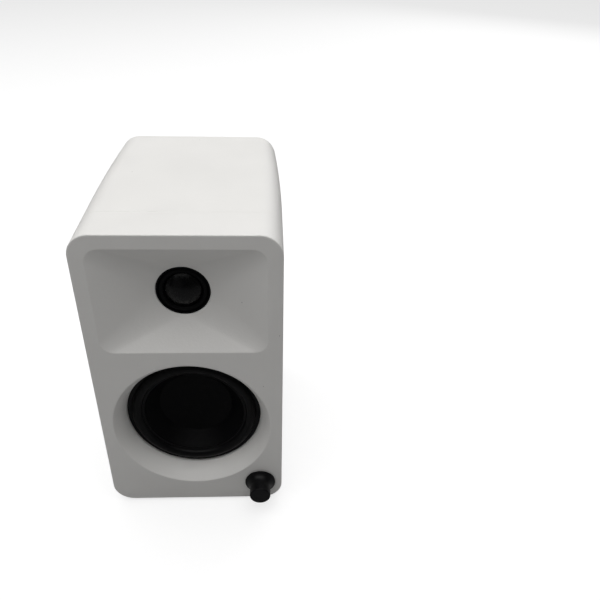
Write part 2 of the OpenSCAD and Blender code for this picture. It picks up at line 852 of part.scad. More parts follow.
// Small circuit board behind the encoder, with its plug
module encoder_board() {
    start = skin_t + body_t;
    color([0.1, 0.3, 0.15]) slab(start, start + board_t, knob_x, knob_z)
        square(encoder_w + 2 * pocket_gap, center = true);
    color([0.9, 0.9, 0.85]) slab(start + board_t, start + board_t + plug_len, plug_x, plug_z)
        square([plug_w, plug_h], center = true);
}

/* Rear */

// The plate's screws have their heads outside, so their outline is turned about
module amp_screw_shapes() {
    for (p = amp_screws) turned(p.x, p.y, coarse) {
        translate([0, plate_face]) square([amp_head_r, amp_head_t]);
        translate([0, plate_face - amp_screw_len]) square([amp_screw_r, amp_screw_len]);
    }
}

module amp_plate_screws() {
    color([0.12, 0.12, 0.13]) amp_screw_shapes();
}

// A round hole through the amplifier plate
module plate_hole(x, z, r) {
    ring(x, z, 0, r, cabinet_d - over, plate_face + over, coarse);
}

// The rectangle that steps down behind a face plate
module stepped(w, h, step) {
    square([w - 2 * step, h - 2 * step], center = true);
}

module amp_plate() {
    color([0.08, 0.08, 0.08]) difference() {
        slab(cabinet_d, plate_face, 0, amp_z) rounded(amp_w, amp_h, amp_corner);
        for (x = phono_x) plate_hole(x, phono_z, phono_neck_r);
        plate_hole(aux_x, phono_z, aux_neck_r);
        plate_hole(inlet_x, switch_z, inlet_neck_r);
        slab(cabinet_d - over, plate_face + over, switch_x, switch_z) stepped(bezel_w, bezel_h, bezel_step);
        slab(cabinet_d - over, plate_face + over, 0, terminal_z)
            stepped(terminal_w, terminal_h, terminal_step);
        for (p = amp_screws) plate_hole(p.x, p.y, amp_screw_r);
    }
}

// Two metal shells, each a tube open at the rear, with a neck that holds its ring on the plate
module phono_shells() {
    step = plate_face + phono_ring_t;
    color([0.8, 0.78, 0.7]) for (x = phono_x) {
        ring(x, phono_z, phono_core_r, phono_neck_r, board_back, step, coarse);
        ring(x, phono_z, phono_core_r, phono_r, step, plate_face + phono_len, coarse);
    }
}

// The insulators inside the shells, each with the hole for the plug's pin
module phono_cores() {
    end = plate_face + phono_len - 1;
    color([0.9, 0.9, 0.88]) for (x = phono_x) difference() {
        ring(x, phono_z, 0, phono_core_r, board_back, end, coarse);
        ring(x, phono_z, 0, phono_hole_r, end - phono_hole_len, end + over, coarse);
    }
}

module phono_ring(x) {
    ring(x, phono_z, phono_neck_r, phono_ring_r, plate_face, plate_face + phono_ring_t, coarse);
}

// A socket's neck through the plate and its flange outside
module socket_nose(x, z, neck_r, flange_r) {
    ring(x, z, 0, neck_r, cabinet_d, plate_face, coarse);
    ring(x, z, 0, flange_r, plate_face, plate_face + socket_lip, coarse);
}

module aux_jack() {
    color([0.1, 0.1, 0.1]) difference() {
        union() {
            ring(aux_x, phono_z, 0, aux_body_r, board_back, cabinet_d, coarse);
            socket_nose(aux_x, phono_z, aux_neck_r, aux_flange_r);
        }
        ring(aux_x, phono_z, 0, aux_r, board_back + socket_floor, plate_face + socket_lip + over, coarse);
    }
}

// Power inlet: a round socket with a centre pin
module dc_inlet() {
    floor_d = plate_face + socket_lip - inlet_depth;
    color([0.07, 0.07, 0.07]) {
        difference() {
            union() {
                slab(board_back, cabinet_d, inlet_x, switch_z) square(inlet_body, center = true);
                socket_nose(inlet_x, switch_z, inlet_neck_r, inlet_flange_r);
            }
            ring(inlet_x, switch_z, 0, inlet_r, floor_d, plate_face + socket_lip + over, coarse);
        }
        ring(inlet_x, switch_z, 0, inlet_pin_r, floor_d, plate_face, coarse);
    }
}

// A pin across the speaker, w wide and centred at x
module cross_pin(x, depth, z, w, r) {
    translate([x - w / 2, front_y + depth, foot_h + z])
        rotate([0, 90, 0]) cylinder(h = w, r = r, $fn = coarse);
}

// Push terminal for the second speaker: each lever swings in a slot on a pin through its sides
module terminal_housing() {
    face = plate_face + terminal_t;
    slot_h = lever_len + lever_t + 2 * lever_gap;
    color([0.07, 0.07, 0.07]) difference() {
        union() {
            slab(plate_face, face, 0, terminal_z) rounded(terminal_w, terminal_h, terminal_corner);
            slab(board_back, plate_face, 0, terminal_z) stepped(terminal_w, terminal_h, terminal_step);
        }
        for (x = [-lever_x, lever_x]) {
            slab(plate_face + slot_floor, face + over, x, terminal_z - hinge_drop + lever_len / 2)
                square([lever_w + 2 * lever_gap, slot_h], center = true);
            cross_pin(x, hinge_d, terminal_z - hinge_drop,
                lever_w + 2 * (hinge_reach + hinge_end_gap), hinge_r + run_gap);
            ring(x, terminal_z - terminal_h / 2 + wire_hole_rise, 0, wire_hole_r,
                face - wire_hole_len, face + over, coarse);
        }
    }
}

// A lever with a thicker lip at its top, and its hinge pin
module terminal_lever(x) {
    z = terminal_z - hinge_drop;
    cross_pin(x, hinge_d, z, lever_w, lever_t / 2);
    cross_pin(x, hinge_d, z, lever_w + 2 * hinge_reach, hinge_r);
    translate([x - lever_w / 2, front_y + hinge_d, foot_h + z]) {
        translate([0, -lever_t / 2, 0]) cube([lever_w, lever_t, lever_len]);
        translate([0, 0, lever_len - lever_lip]) cube([lever_w, lever_t, lever_lip]);
    }
}

// Snap-in case of the power switch, with the bores for the rocker's pin
module switch_case() {
    color([0.06, 0.06, 0.06]) difference() {
        union() {
            slab(plate_face, plate_face + bezel_t, switch_x, switch_z) rounded(bezel_w, bezel_h, 1);
            slab(board_back, plate_face, switch_x, switch_z) stepped(bezel_w, bezel_h, bezel_step);
        }
        slab(plate_face - case_room, plate_face + bezel_t + over, switch_x, switch_z)
            square([rocker_w + 2 * lever_gap, 2 * rocker_room], center = true);
        cross_pin(switch_x, rocker_d, switch_z, rocker_w + 2 * (axle_reach + hinge_end_gap),
            hinge_r + run_gap);
    }
}

// Rocker with two faces that meet in a shallow valley, at rest in its off position
module power_rocker() {
    color([0.05, 0.05, 0.05]) translate([switch_x, front_y + rocker_d, foot_h + switch_z])
        rotate([-rocker_swing / 2, 0, 0]) rotate([0, -90, 0]) {
            translate([0, 0, -rocker_w / 2]) linear_extrude(rocker_w) polygon([
                [-rocker_half, rocker_face], [0, rocker_valley], [rocker_half, rocker_face],
                [rocker_foot, -rocker_under], [-rocker_foot, -rocker_under]
            ]);
            translate([0, 0, -rocker_w / 2 - axle_reach])
                cylinder(h = rocker_w + 2 * axle_reach, r = hinge_r, $fn = coarse);
        }
}

module amp_board() {
    color([0.05, 0.25, 0.12]) slab(board_d, board_back, 0, amp_z) stepped(amp_w, amp_h, board_margin);
}

module board_standoffs() {
    color([0.78, 0.74, 0.62]) for (x = [-1, 1], z = [-1, 1])
        ring(x * (amp_w / 2 - standoff_inset), amp_z + z * (amp_h / 2 - standoff_inset), 0, standoff_r,
            board_back, cabinet_d, coarse);
}

module heatsink() {
    gap = fin_pitch - fin_t;
    color([0.12, 0.12, 0.13]) translate([sink_x, front_y + board_d - sink_depth, foot_h + sink_z])
        difference() {
            cube([fins * fin_pitch - gap, sink_depth, sink_h]);
            for (i = [1:fins - 1]) translate([i * fin_pitch - gap, -over, -over])
                cube([gap, sink_depth - sink_base + over, sink_h + 2 * over]);
        }
}

module capacitors() {
    color([0.1, 0.12, 0.2]) for (z = can_z) ring(can_x, z, 0, can_r, board_d - can_len, board_d, coarse);
}

// Toroidal coil lying on the board
module crossover_coil() {
    color([0.7, 0.4, 0.15]) turned(can_x, coil_z, coarse)
        translate([coil_ring_r, board_d - coil_wire_r - coil_lift]) circle(coil_wire_r, $fn = 24);
}

// A lead from a driver's tag, eased over by slack, to the board at a height above the plate's foot
module driver_lead(x, tag_d, tag_z, slack_x, slack_z, board_x, rise) {
    wire([[x, tag_d, tag_z], [slack_x, tag_d + 12, tag_z + slack_z],
        [board_x, board_d - 20, amp_base + rise], [board_x, board_d, amp_base + rise]], lead_r);
}

// Leads from the board to both drivers and to the encoder's board
module internal_leads() {
    woofer_tag_d = frame_back + strip_len + tag_len;
    woofer_tag_z = woofer_z + strip_r;
    tweeter_tag_d = plate_back + tweeter_strip_w + tweeter_tag_len;
    tweeter_tag_z = tweeter_z - plate_r;
    plug_d = skin_t + body_t + board_t + plug_len + 1;
    for (side = [-1, 1]) color(side > 0 ? [0.75, 0.1, 0.1] : [0.1, 0.1, 0.1]) {
        driver_lead(side * tag_x, woofer_tag_d, woofer_tag_z, side * tag_x, 6, side * 3, 72);
        driver_lead(side * tweeter_tag_x, tweeter_tag_d, tweeter_tag_z, side * 8, -2, side * 8, 77);
    }
    color([0.85, 0.85, 0.85]) wire([[plug_x, plug_d, plug_z], [plug_x - 5, plug_d + 12, plug_z + 2],
        [plug_x - 11, board_d - 30, amp_base + 8], [plug_x - 13, board_d, amp_base + 12]], encoder_lead_r);
}

cabinet_shell();
front_baffle();
rear_panel();
port_tube();
damping_pads();
foot(-1, -1);  // foot_front_left
foot(1, -1);  // foot_front_right
foot(-1, 1);  // foot_rear_left
foot(1, 1);  // foot_rear_right
woofer_gasket();
woofer_basket();
woofer_surround();
woofer_cone();
woofer_dust_cap();
woofer_coil_former();
woofer_voice_coil();
woofer_spider();
woofer_top_plate();
woofer_magnet();
woofer_yoke();
woofer_terminals();
woofer_tinsel_leads();
woofer_screws();
tweeter_plate();
tweeter_surround();
tweeter_dome();
tweeter_voice_coil();
tweeter_top_plate();
tweeter_magnet();
tweeter_yoke();
tweeter_felt();
tweeter_terminals();
tweeter_screws();
volume_knob();
encoder_shaft();
encoder_actuator();
encoder_bush();
encoder_body();
encoder_washer();
encoder_nut();
encoder_board();
amp_plate();
amp_plate_screws();
phono_shells();
phono_cores();
color([0.7, 0.05, 0.05]) phono_ring(phono_x[0]);  // phono_ring_red
color([0.9, 0.9, 0.9]) phono_ring(phono_x[1]);  // phono_ring_white
aux_jack();
dc_inlet();
terminal_housing();
color([0.7, 0.05, 0.05]) terminal_lever(lever_x);  // terminal_lever_red
color([0.08, 0.08, 0.08]) terminal_lever(-lever_x);  // terminal_lever_black
switch_case();
power_rocker();
amp_board();
board_standoffs();
heatsink();
capacitors();
crossover_coil();
internal_leads();
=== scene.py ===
"""A compact powered two-way bookshelf speaker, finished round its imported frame.

Sizes of pieces are in millimetres, measured across from the middle, in depth behind the front face and up
from the cabinet's base. Datum turns them into metres in the frame's own axes.
"""
import json
import logging
import math
from dataclasses import dataclass, field, replace
from enum import Enum
from functools import lru_cache
from typing import Callable, ClassVar, Sequence, Union

import bmesh
import bpy
import numpy as np
from mathutils import Matrix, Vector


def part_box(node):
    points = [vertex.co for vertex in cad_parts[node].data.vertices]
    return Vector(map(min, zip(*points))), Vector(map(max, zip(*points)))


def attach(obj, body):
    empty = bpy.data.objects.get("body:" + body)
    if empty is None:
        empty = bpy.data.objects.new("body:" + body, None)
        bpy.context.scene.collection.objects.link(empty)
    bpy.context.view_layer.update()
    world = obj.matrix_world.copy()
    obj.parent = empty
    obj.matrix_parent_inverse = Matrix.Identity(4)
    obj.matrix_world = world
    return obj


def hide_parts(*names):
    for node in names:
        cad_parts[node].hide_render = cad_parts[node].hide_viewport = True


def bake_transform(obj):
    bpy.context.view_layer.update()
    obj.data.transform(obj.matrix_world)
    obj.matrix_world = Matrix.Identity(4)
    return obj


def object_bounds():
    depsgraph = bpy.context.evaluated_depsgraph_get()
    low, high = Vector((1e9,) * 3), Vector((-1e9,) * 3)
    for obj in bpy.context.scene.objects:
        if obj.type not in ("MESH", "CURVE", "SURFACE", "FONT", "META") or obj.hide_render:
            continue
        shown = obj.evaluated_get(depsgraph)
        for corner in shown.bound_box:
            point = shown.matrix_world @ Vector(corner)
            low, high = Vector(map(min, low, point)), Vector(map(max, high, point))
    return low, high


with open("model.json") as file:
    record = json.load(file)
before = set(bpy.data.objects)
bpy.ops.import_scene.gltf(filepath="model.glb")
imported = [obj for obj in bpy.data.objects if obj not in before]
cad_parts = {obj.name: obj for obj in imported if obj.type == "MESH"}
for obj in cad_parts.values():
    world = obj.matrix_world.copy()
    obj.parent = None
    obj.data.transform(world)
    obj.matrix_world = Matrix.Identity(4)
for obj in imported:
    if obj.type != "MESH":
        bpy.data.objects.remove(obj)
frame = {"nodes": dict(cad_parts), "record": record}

CAD_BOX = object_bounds()
MM = 0.001
LOG = logging.getLogger("speaker")
BODY_OF = {n: body for body, nodes in frame["record"]["behaviour"]["bodies"].items() for n in nodes}

MERGE = 2e-6
SLIVER = 1e-7
FLAT_ANGLE = math.radians(0.6)
ANY_AREA = 1e6
ROOM_SHARE = 0.48
HOLD_SHARE = 0.4
QUARTER_STEPS = 20
WHITE = (1.0, 1.0, 1.0, 1.0)
FLOAT, VECTOR, COLOUR = "NodeSocketFloat", "NodeSocketVector", "NodeSocketColor"

Colour = tuple[float, float, float]
Value = Union[float, tuple, bpy.types.NodeSocket]


class Axis(Enum):
    """The line that a turned piece is turned about."""

    DEPTH = "depth"
    UPRIGHT = "upright"


# --- Measures and surfaces ---


@dataclass(frozen=True)
class Datum:
    """The front face's depth and the cabinet base's height in the frame, in metres."""

    front: float
    base: float

    @classmethod
    def from_frame(cls) -> "Datum":
        """Reads both from the front baffle, which starts at the front face and stands on the base line."""
        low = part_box("front_baffle")[0]
        return cls(low.y, low.z)

    def place(self, across: np.ndarray, depth: np.ndarray, up: np.ndarray) -> np.ndarray:
        """Turns millimetres across, behind the front face and above the base into points in metres.

        Args:
            across: distances from the middle, to the right.
            depth: distances behind the front face.
            up: heights above the cabinet's base.

        Returns:
            An array of points whose last axis is x, y, z.
        """
        parts = np.broadcast_arrays(np.asarray(across) * MM, self.front + np.asarray(depth) * MM,
                                    self.base + np.asarray(up) * MM)
        return np.stack(parts, axis=-1)

    def middle(self, node: str) -> tuple[float, float]:
        """The middle of a node's box in the front view: millimetres across and above the base."""
        low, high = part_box(node)
        return (low.x + high.x) / 2 / MM, ((low.z + high.z) / 2 - self.base) / MM

    def half_width(self, node: str) -> float:
        """Half of a node's width, which is a round node's radius."""
        low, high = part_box(node)
        return (high.x - low.x) / 2 / MM

    def span(self, node: str) -> tuple[float, float]:
        """The depths at which a node starts and ends."""
        low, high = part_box(node)
        return (low.y - self.front) / MM, (high.y - self.front) / MM

    def heights(self, node: str) -> tuple[float, float]:
        """The heights at which a node starts and ends."""
        low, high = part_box(node)
        return (low.z - self.base) / MM, (high.z - self.base) / MM


@dataclass
class Skin:
    """A surface under way: points in metres, four-cornered faces, and how exposed each point is to wear."""

    points: np.ndarray
    faces: np.ndarray
    wear: np.ndarray

    @classmethod
    def from_grid(cls, grid: np.ndarray, wear: np.ndarray, close_rows: bool = False,
                  close_columns: bool = True) -> "Skin":
        """Joins neighbours in a grid of points by faces.

        Args:
            grid: points in rows and columns.
            wear: one value for each row.
            close_rows: whether the last row joins the first.
            close_columns: whether the last column joins the first.

        Returns:
            The surface.
        """
        rows, columns = grid.shape[:2]
        r, c = np.meshgrid(np.arange(rows if close_rows else rows - 1),
                           np.arange(columns if close_columns else columns - 1), indexing="ij")
        below, right = (r + 1) % rows, (c + 1) % columns
        corners = (r * columns + c, r * columns + right, below * columns + right, below * columns + c)
        faces = np.stack(corners, axis=-1).reshape(-1, 4)
        return cls(grid.reshape(-1, 3), faces, np.repeat(np.asarray(wear, float), columns))

    @classmethod
    def joined(cls, skins: Sequence["Skin"]) -> "Skin":
        """Puts several surfaces into one, with their faces counted on."""
        starts = np.cumsum([0] + [len(s.points) for s in skins[:-1]])
        return cls(np.concatenate([s.points for s in skins]),
                   np.concatenate([s.faces + start for s, start in zip(skins, starts)]),
                   np.concatenate([s.wear for s in skins]))


def arc(across: float, along: float, radius: float, turn: np.ndarray) -> np.ndarray:
    """Points on a circle round a centre, at the given angles."""
    return np.stack([across + radius * np.cos(turn), along + radius * np.sin(turn)], axis=1)


def eased(corners: Sequence[tuple[float, float, float]], steps: int = 5, hold: float = 0.12,
          closed: bool = True) -> np.ndarray:
    """A polyline whose corners are rounded by arcs that touch both sides.

    The arc's centre lies on the corner's bisector, at the radius over the sine of half the corner's angle.
    A holding point stands a little before and after each arc, so that the flats beside it stay flat.

    Args:
        corners: each corner's two coordinates and its rounding radius.
        steps: segments in each arc.
        hold: distance of the holding points from the arc.
        closed: whether the last corner joins the first.

    Returns:
        Rows of two coordinates and a wear value, which is 1 in the middle of an arc.
    """
    made: list[np.ndarray] = []
    count = len(corners)
    for i, (x, y, radius) in enumerate(corners):
        here = np.array([x, y], float)
        if radius <= 0 or not (closed or 0 < i < count - 1):
            made.append(np.array([[x, y, 0.0]]))
            continue
        before = np.array(corners[i - 1][:2], float) - here
        after = np.array(corners[(i + 1) % count][:2], float) - here
        room = min(np.linalg.norm(before), np.linalg.norm(after)) * ROOM_SHARE
        u, v = before / np.linalg.norm(before), after / np.linalg.norm(after)
        half = math.acos(float(np.clip(u @ v, -1, 1))) / 2
        touch = min(radius / math.tan(half), room)
        radius = touch * math.tan(half)
        centre = here + (u + v) / np.linalg.norm(u + v) * radius / math.sin(half)
        start, end = here + u * touch - centre, here + v * touch - centre
        swing = math.pi - 2 * half
        share = np.linspace(0, 1, steps + 1)[:, None]
        bend = (np.sin((1 - share) * swing) * start + np.sin(share * swing) * end) / math.sin(swing)
        wear = np.sin(np.linspace(0, math.pi, steps + 1))[:, None]
        out = touch + min(hold, room * HOLD_SHARE)
        made += [np.append(here + u * out, 0)[None], np.hstack([centre + bend, wear]),
                 np.append(here + v * out, 0)[None]]
    return np.vstack(made)


def turned(datum: Datum, profile: np.ndarray, across: float, up: float, steps: int = 96,
           closed: bool = True, axis: Axis = Axis.DEPTH) -> Skin:
    """Turns a profile of radius and distance about an axis: x = r cos a, z = r sin a, y = distance.

    Args:
        datum: the frame's datum.
        profile: rows of radius, distance along the axis, and optionally wear.
        across: the axis's place across.
        up: the axis's height, or its depth for an upright axis.
        steps: columns round the axis.
        closed: whether the profile ends where it starts, instead of on the axis.
        axis: the direction of the axis.

    Returns:
        The turned surface.
    """
    angle = np.linspace(0, 2 * math.pi, steps, endpoint=False)
    radius, along = profile[:, :1], profile[:, 1:2]
    wear = profile[:, 2] if profile.shape[1] > 2 else np.zeros(len(profile))
    side, other = across + radius * np.cos(angle), up + radius * np.sin(angle)
    along = np.broadcast_to(along, side.shape)
    grid = datum.place(side, along, other) if axis is Axis.DEPTH else datum.place(side, other, along)
    return Skin.from_grid(grid, wear, close_rows=closed)


@dataclass(frozen=True)
class Section:
    """A hole's outline: a rounded rectangle, which is a circle when both half sizes equal its corner."""

    half_w: float
    half_h: float
    corner: float

    @classmethod
    def circle(cls, radius: float) -> "Section":
        """A round section."""
        return cls(radius, radius, radius)

    def grown(self, by: float) -> "Section":
        """The same outline, moved outwards."""
        return Section(self.half_w + by, self.half_h + by, self.corner + by)

    def toward(self, other: "Section", share: float) -> "Section":
        """The section part of the way to another, each size in proportion."""
        keep = 1 - share
        return Section(keep * self.half_w + share * other.half_w, keep * self.half_h + share * other.half_h,
                       keep * self.corner + share * other.corner)

    def reach(self, ray: np.ndarray) -> np.ndarray:
        """Distance from the centre to the outline along unit rays.

        A ray leaves through an upright side, a level side, or the corner's circle, whose crossing is the
        larger root of the quadratic |t ray - corner centre| = corner radius.

        Args:
            ray: unit vectors in the front view.

        Returns:
            One distance for each ray.
        """
        ray = np.abs(ray) + 1e-12
        core = np.array([self.half_w - self.corner, self.half_h - self.corner])
        by_side, by_top = self.half_w / ray[:, 0], self.half_h / ray[:, 1]
        along = ray @ core
        by_corner = along + np.sqrt(np.maximum(along**2 - core @ core + self.corner**2, 0))
        at_side, at_top = by_side * ray[:, 1] <= core[1], by_top * ray[:, 0] <= core[0]
        return np.where(at_side, by_side, np.where(at_top, by_top, by_corner))


@dataclass(frozen=True)
class Ring:
    """One row round a hole: on a hole's section, or on the slab's rim set in by a distance."""

    depth: float
    hole: Section | None = None
    inset: float = 0.0
    wear: float = 0.0


@dataclass(frozen=True)
class Zone:
    """The part of a rounded slab on one side of a level line, with a hole that all its rows go round."""

    width: float
    split: float
    end: float
    corner: float
    hole_up: float
    rings: tuple[Ring, ...]
    pitch: float = 1.1

    def cuts(self, start: float, end: float) -> np.ndarray:
        """Places about a pitch apart from one to the other, both included."""
        return np.linspace(start, end, max(3, round(abs(end - start) / self.pitch)))

    def rim(self) -> tuple[np.ndarray, np.ndarray, np.ndarray]:
        """Points round the outline, the way each moves when the rim is set in, and which are on the split.

        The outline runs along the split line, down a side, round a quarter circle, along the end, round the
        other quarter circle and back up. Points on the split line only close up towards the middle.

        Returns:
            The points, their outward directions, and a mask of the points on the split line.
        """
        half, sign = self.width / 2, math.copysign(1, self.end - self.split)
        low = self.end - sign * self.corner
        across, down = self.cuts(-half, half), self.cuts(self.split, low)[1:-1]
        flat = self.cuts(half - self.corner, self.corner - half)[1:-1]
        turn = np.linspace(0, math.pi / 2, QUARTER_STEPS + 1)
        bend = np.stack([np.cos(turn), sign * np.sin(turn)], axis=1)
        mirror = np.array([-1.0, 1.0])
        split = np.stack([across, np.full_like(across, self.split)], axis=1)
        right = np.stack([np.full_like(down, half), down], axis=1)
        foot = np.stack([flat, np.full_like(flat, self.end)], axis=1)
        corner = np.array([half - self.corner, low]) + self.corner * bend
        points = np.vstack([split, right, corner, foot, (corner * mirror)[::-1], (right * mirror)[::-1]])
        outward = np.vstack([
            np.stack([across / half, np.zeros_like(across)], axis=1), np.tile([1.0, 0.0], (len(down), 1)),
            bend, np.tile([0.0, sign], (len(flat), 1)), (bend * mirror)[::-1],
            np.tile([-1.0, 0.0], (len(down), 1)),
        ])
        return points, outward, np.arange(len(points)) < len(across)

    def skin(self, datum: Datum) -> Skin:
        """Lays the rows and drops the faces that would wall the zone off along the split line."""
        rim, outward, on_split = self.rim()
        centre = np.array([0.0, self.hole_up])
        ray = rim - centre
        ray /= np.linalg.norm(ray, axis=1)[:, None]
        flat = np.stack([rim - ring.inset * outward if ring.hole is None
                         else centre + ray * ring.hole.reach(ray)[:, None] for ring in self.rings])
        depth = np.array([ring.depth for ring in self.rings])[:, None]
        grid = datum.place(flat[..., 0], np.broadcast_to(depth, flat.shape[:2]), flat[..., 1])
        skin = Skin.from_grid(grid, [ring.wear for ring in self.rings], close_rows=True)
        on_rim = np.array([ring.hole is None for ring in self.rings])
        walled = (on_rim[:, None] & on_split[None, :]).reshape(-1)
        skin.faces = skin.faces[~walled[skin.faces].all(axis=1)]
        return skin


def bent_edge(sections: Sequence[Section], depths: Sequence[float], steps: int = 4) -> list[Ring]:
    """Rounds the edge between two faces by a quadratic curve whose middle control point is the sharp edge.

    Args:
        sections: the section where the curve starts, the sharp edge's, and the one where it ends.
        depths: the depths of the three.
        steps: segments of the curve.

    Returns:
        The curve's rows.
    """
    (near, edge, far), (a, b, c) = sections, depths
    return [Ring(float((1 - t) ** 2 * a + 2 * t * (1 - t) * b + t**2 * c),
                 near.toward(edge, t).toward(edge.toward(far, t), t), wear=math.sin(math.pi * t))
            for t in np.linspace(0, 1, steps + 1)]


# --- Pieces ---


def start_mesh(name: str, points: np.ndarray, faces: np.ndarray,
               wear: np.ndarray | None = None) -> tuple[bpy.types.Mesh, bmesh.types.BMesh]:
    """Makes a mesh and opens it for editing, with points that lie on each other merged.

    Args:
        name: the mesh's name.
        points: its points, in metres.
        faces: the corners of its faces.
        wear: how exposed each point is, kept in the attribute "edge".

    Returns:
        The mesh and its open edit.
    """
    mesh = bpy.data.meshes.new(name)
    mesh.from_pydata(points.tolist(), [], faces.tolist())
    if wear is not None:
        mesh.attributes.new("edge", "FLOAT", "POINT").data.foreach_set("value", wear.astype(np.float32))
    work = bmesh.new()
    work.from_mesh(mesh)
    bmesh.ops.remove_doubles(work, verts=work.verts, dist=MERGE)
    return mesh, work


def end_mesh(mesh: bpy.types.Mesh, work: bmesh.types.BMesh, crease: float,
             flat_area: float | None = None) -> bpy.types.Object:
    """Closes the edit with faces turned outwards, sets which are smooth, and makes the object.

    Args:
        mesh: the mesh.
        work: its open edit.
        crease: edges sharper than this many degrees stay sharp.
        flat_area: faces wider than this many square millimetres, or with over four corners, are flat ones.

    Returns:
        The object, at the origin.
    """
    bmesh.ops.recalc_face_normals(work, faces=work.faces)
    smooth = [flat_area is None or (len(face.verts) <= 4 and face.calc_area() < flat_area * MM**2)
              for face in work.faces]
    work.to_mesh(mesh)
    work.free()
    mesh.polygons.foreach_set("use_smooth", smooth)
    mesh.set_sharp_from_angle(angle=math.radians(crease))
    piece = bpy.data.objects.new(mesh.name, mesh)
    bpy.context.scene.collection.objects.link(piece)
    return piece


def make_object(name: str, skin: Skin, crease: float = 38.0) -> bpy.types.Object:
    """Makes a mesh object from a surface, with poles and seams closed.

    Args:
        name: the piece's name.
        skin: its surface.
        crease: edges sharper than this many degrees stay sharp.

    Returns:
        The object, at the origin.
    """
    mesh, work = start_mesh(name, skin.points, skin.faces, skin.wear)
    bmesh.ops.dissolve_degenerate(work, dist=SLIVER, edges=work.edges)
    return end_mesh(mesh, work, crease)


def make_copy(name: str, node: str, ease: float, crease: float = 32.0,
              flat_area: float = ANY_AREA) -> bpy.types.Object:
    """Copies a CAD node, merges its triangles into clean faces and rounds its sharp edges.

    Args:
        name: the piece's name.
        node: the CAD node.
        ease: width of the rounding in millimetres.
        crease: edges sharper than this many degrees are rounded.
        flat_area: faces wider than this many square millimetres keep their own normal.

    Returns:
        The object, at the origin.
    """
    source = frame["nodes"][node].data
    points, corners = np.empty(len(source.vertices) * 3), np.empty(len(source.loops), int)
    source.vertices.foreach_get("co", points)
    source.loops.foreach_get("vertex_index", corners)
    mesh, work = start_mesh(name, points.reshape(-1, 3), corners.reshape(-1, 3))
    bmesh.ops.dissolve_limit(work, angle_limit=FLAT_ANGLE, verts=work.verts, edges=work.edges)
    sharp = [e for e in work.edges if e.is_manifold and e.calc_face_angle(0.0) > math.radians(crease)]
    bmesh.ops.bevel(work, geom=sharp, offset=ease * MM, segments=2, profile=0.5, affect="EDGES",
                    clamp_overlap=True)
    return end_mesh(mesh, work, crease, flat_area)


def make_rounded(name: str, node: str) -> bpy.types.Object:
    """Copies a faceted lead or coil and rounds it with a subdivision surface.

    Args:
        name: the piece's name.
        node: the CAD node.

    Returns:
        The object, at the origin.
    """
    piece = make_copy(name, node, ease=0.0, crease=75.0)
    piece.data.shade_smooth()
    finer = piece.modifiers.new("Rounding", "SUBSURF")
    finer.levels = finer.render_levels = 2
    return piece


# --- Shared effects and finishes ---


class Recipe:
    """A node tree under way, with short calls that add nodes and join them."""

    def __init__(self, tree: bpy.types.NodeTree) -> None:
        """Starts on a tree."""
        self.tree = tree

    def feed(self, socket: bpy.types.NodeSocket, value: Value) -> None:
        """Links a socket to another, or sets its own value."""
        if isinstance(value, bpy.types.NodeSocket):
            self.tree.links.new(value, socket)
        else:
            socket.default_value = value

    def add(self, kind: str, settings: dict[str, object] | None = None, **inputs: Value) -> bpy.types.Node:
        """Adds a node.

        Args:
            kind: the node's type.
            settings: properties of the node itself.
            inputs: values or sockets, by the input's name with an underscore for each space.

        Returns:
            The node.
        """
        node = self.tree.nodes.new(kind)
        for key, value in (settings or {}).items():
            setattr(node, key, value)
        for key, value in inputs.items():
            self.feed(node.inputs[key.replace("_", " ")], value)
        return node

    def maths(self, operation: str, a: Value, b: Value = 0.0, clamp: bool = False) -> bpy.types.NodeSocket:
        """One step of arithmetic on two values."""
        node = self.add("ShaderNodeMath", {"operation": operation, "use_clamp": clamp})
        self.feed(node.inputs[0], a)
        self.feed(node.inputs[1], b)
        return node.outputs[0]

    def noise(self, place: Value, size: Value, **inputs: Value) -> bpy.types.NodeSocket:
        """Soft noise whose lumps have a size."""
        scale = self.maths("DIVIDE", 1.0, size)
        return self.add("ShaderNodeTexNoise", Vector=place, Scale=scale, **inputs).outputs["Fac"]

    def spread(self, value: Value, low: float, high: float, new_low: float = 0.0,
               new_high: float = 1.0) -> bpy.types.NodeSocket:
        """Maps a range smoothly onto another."""
        return self.add("ShaderNodeMapRange", {"interpolation_type": "SMOOTHSTEP"}, Value=value,
                        From_Min=low, From_Max=high, To_Min=new_low, To_Max=new_high).outputs[0]

    def tint(self, share: Value, a: Value, b: Value, blend: str = "MIX") -> bpy.types.NodeSocket:
        """Mixes two colours."""
        node = self.add("ShaderNodeMix", {"data_type": "RGBA", "blend_type": blend})
        for index, value in ((0, share), (6, a), (7, b)):
            self.feed(node.inputs[index], value)
        return node.outputs[2]


def effect(name: str, inputs: dict[str, tuple[str, object]], outputs: dict[str, str]) -> tuple:
    """Starts a shared effect's node group, whose first input is the place.

    Args:
        name: the group's name.
        inputs: each further input's socket type and default.
        outputs: each output's socket type.

    Returns:
        The recipe, the group's inputs to read from and its outputs to feed.
    """
    tree = bpy.data.node_groups.new(name, "ShaderNodeTree")
    tree.interface.new_socket(name="Place", in_out="INPUT", socket_type=VECTOR)
    for key, (kind, start) in inputs.items():
        tree.interface.new_socket(name=key, in_out="INPUT", socket_type=kind).default_value = start
    for key, kind in outputs.items():
        tree.interface.new_socket(name=key, in_out="OUTPUT", socket_type=kind)
    return Recipe(tree), tree.nodes.new("NodeGroupInput").outputs, tree.nodes.new("NodeGroupOutput").inputs


@lru_cache(maxsize=None)
def grain_effect() -> bpy.types.NodeTree:
    """Fine even grain of a stated size, as on sprayed paint or a spark-eroded mould."""
    r, given, out = effect("Grain", {"Size": (FLOAT, 0.0005), "Detail": (FLOAT, 2.0)}, {"Height": FLOAT})
    r.feed(out["Height"], r.noise(given["Place"], given["Size"], Detail=given["Detail"], Roughness=0.55))
    return r.tree


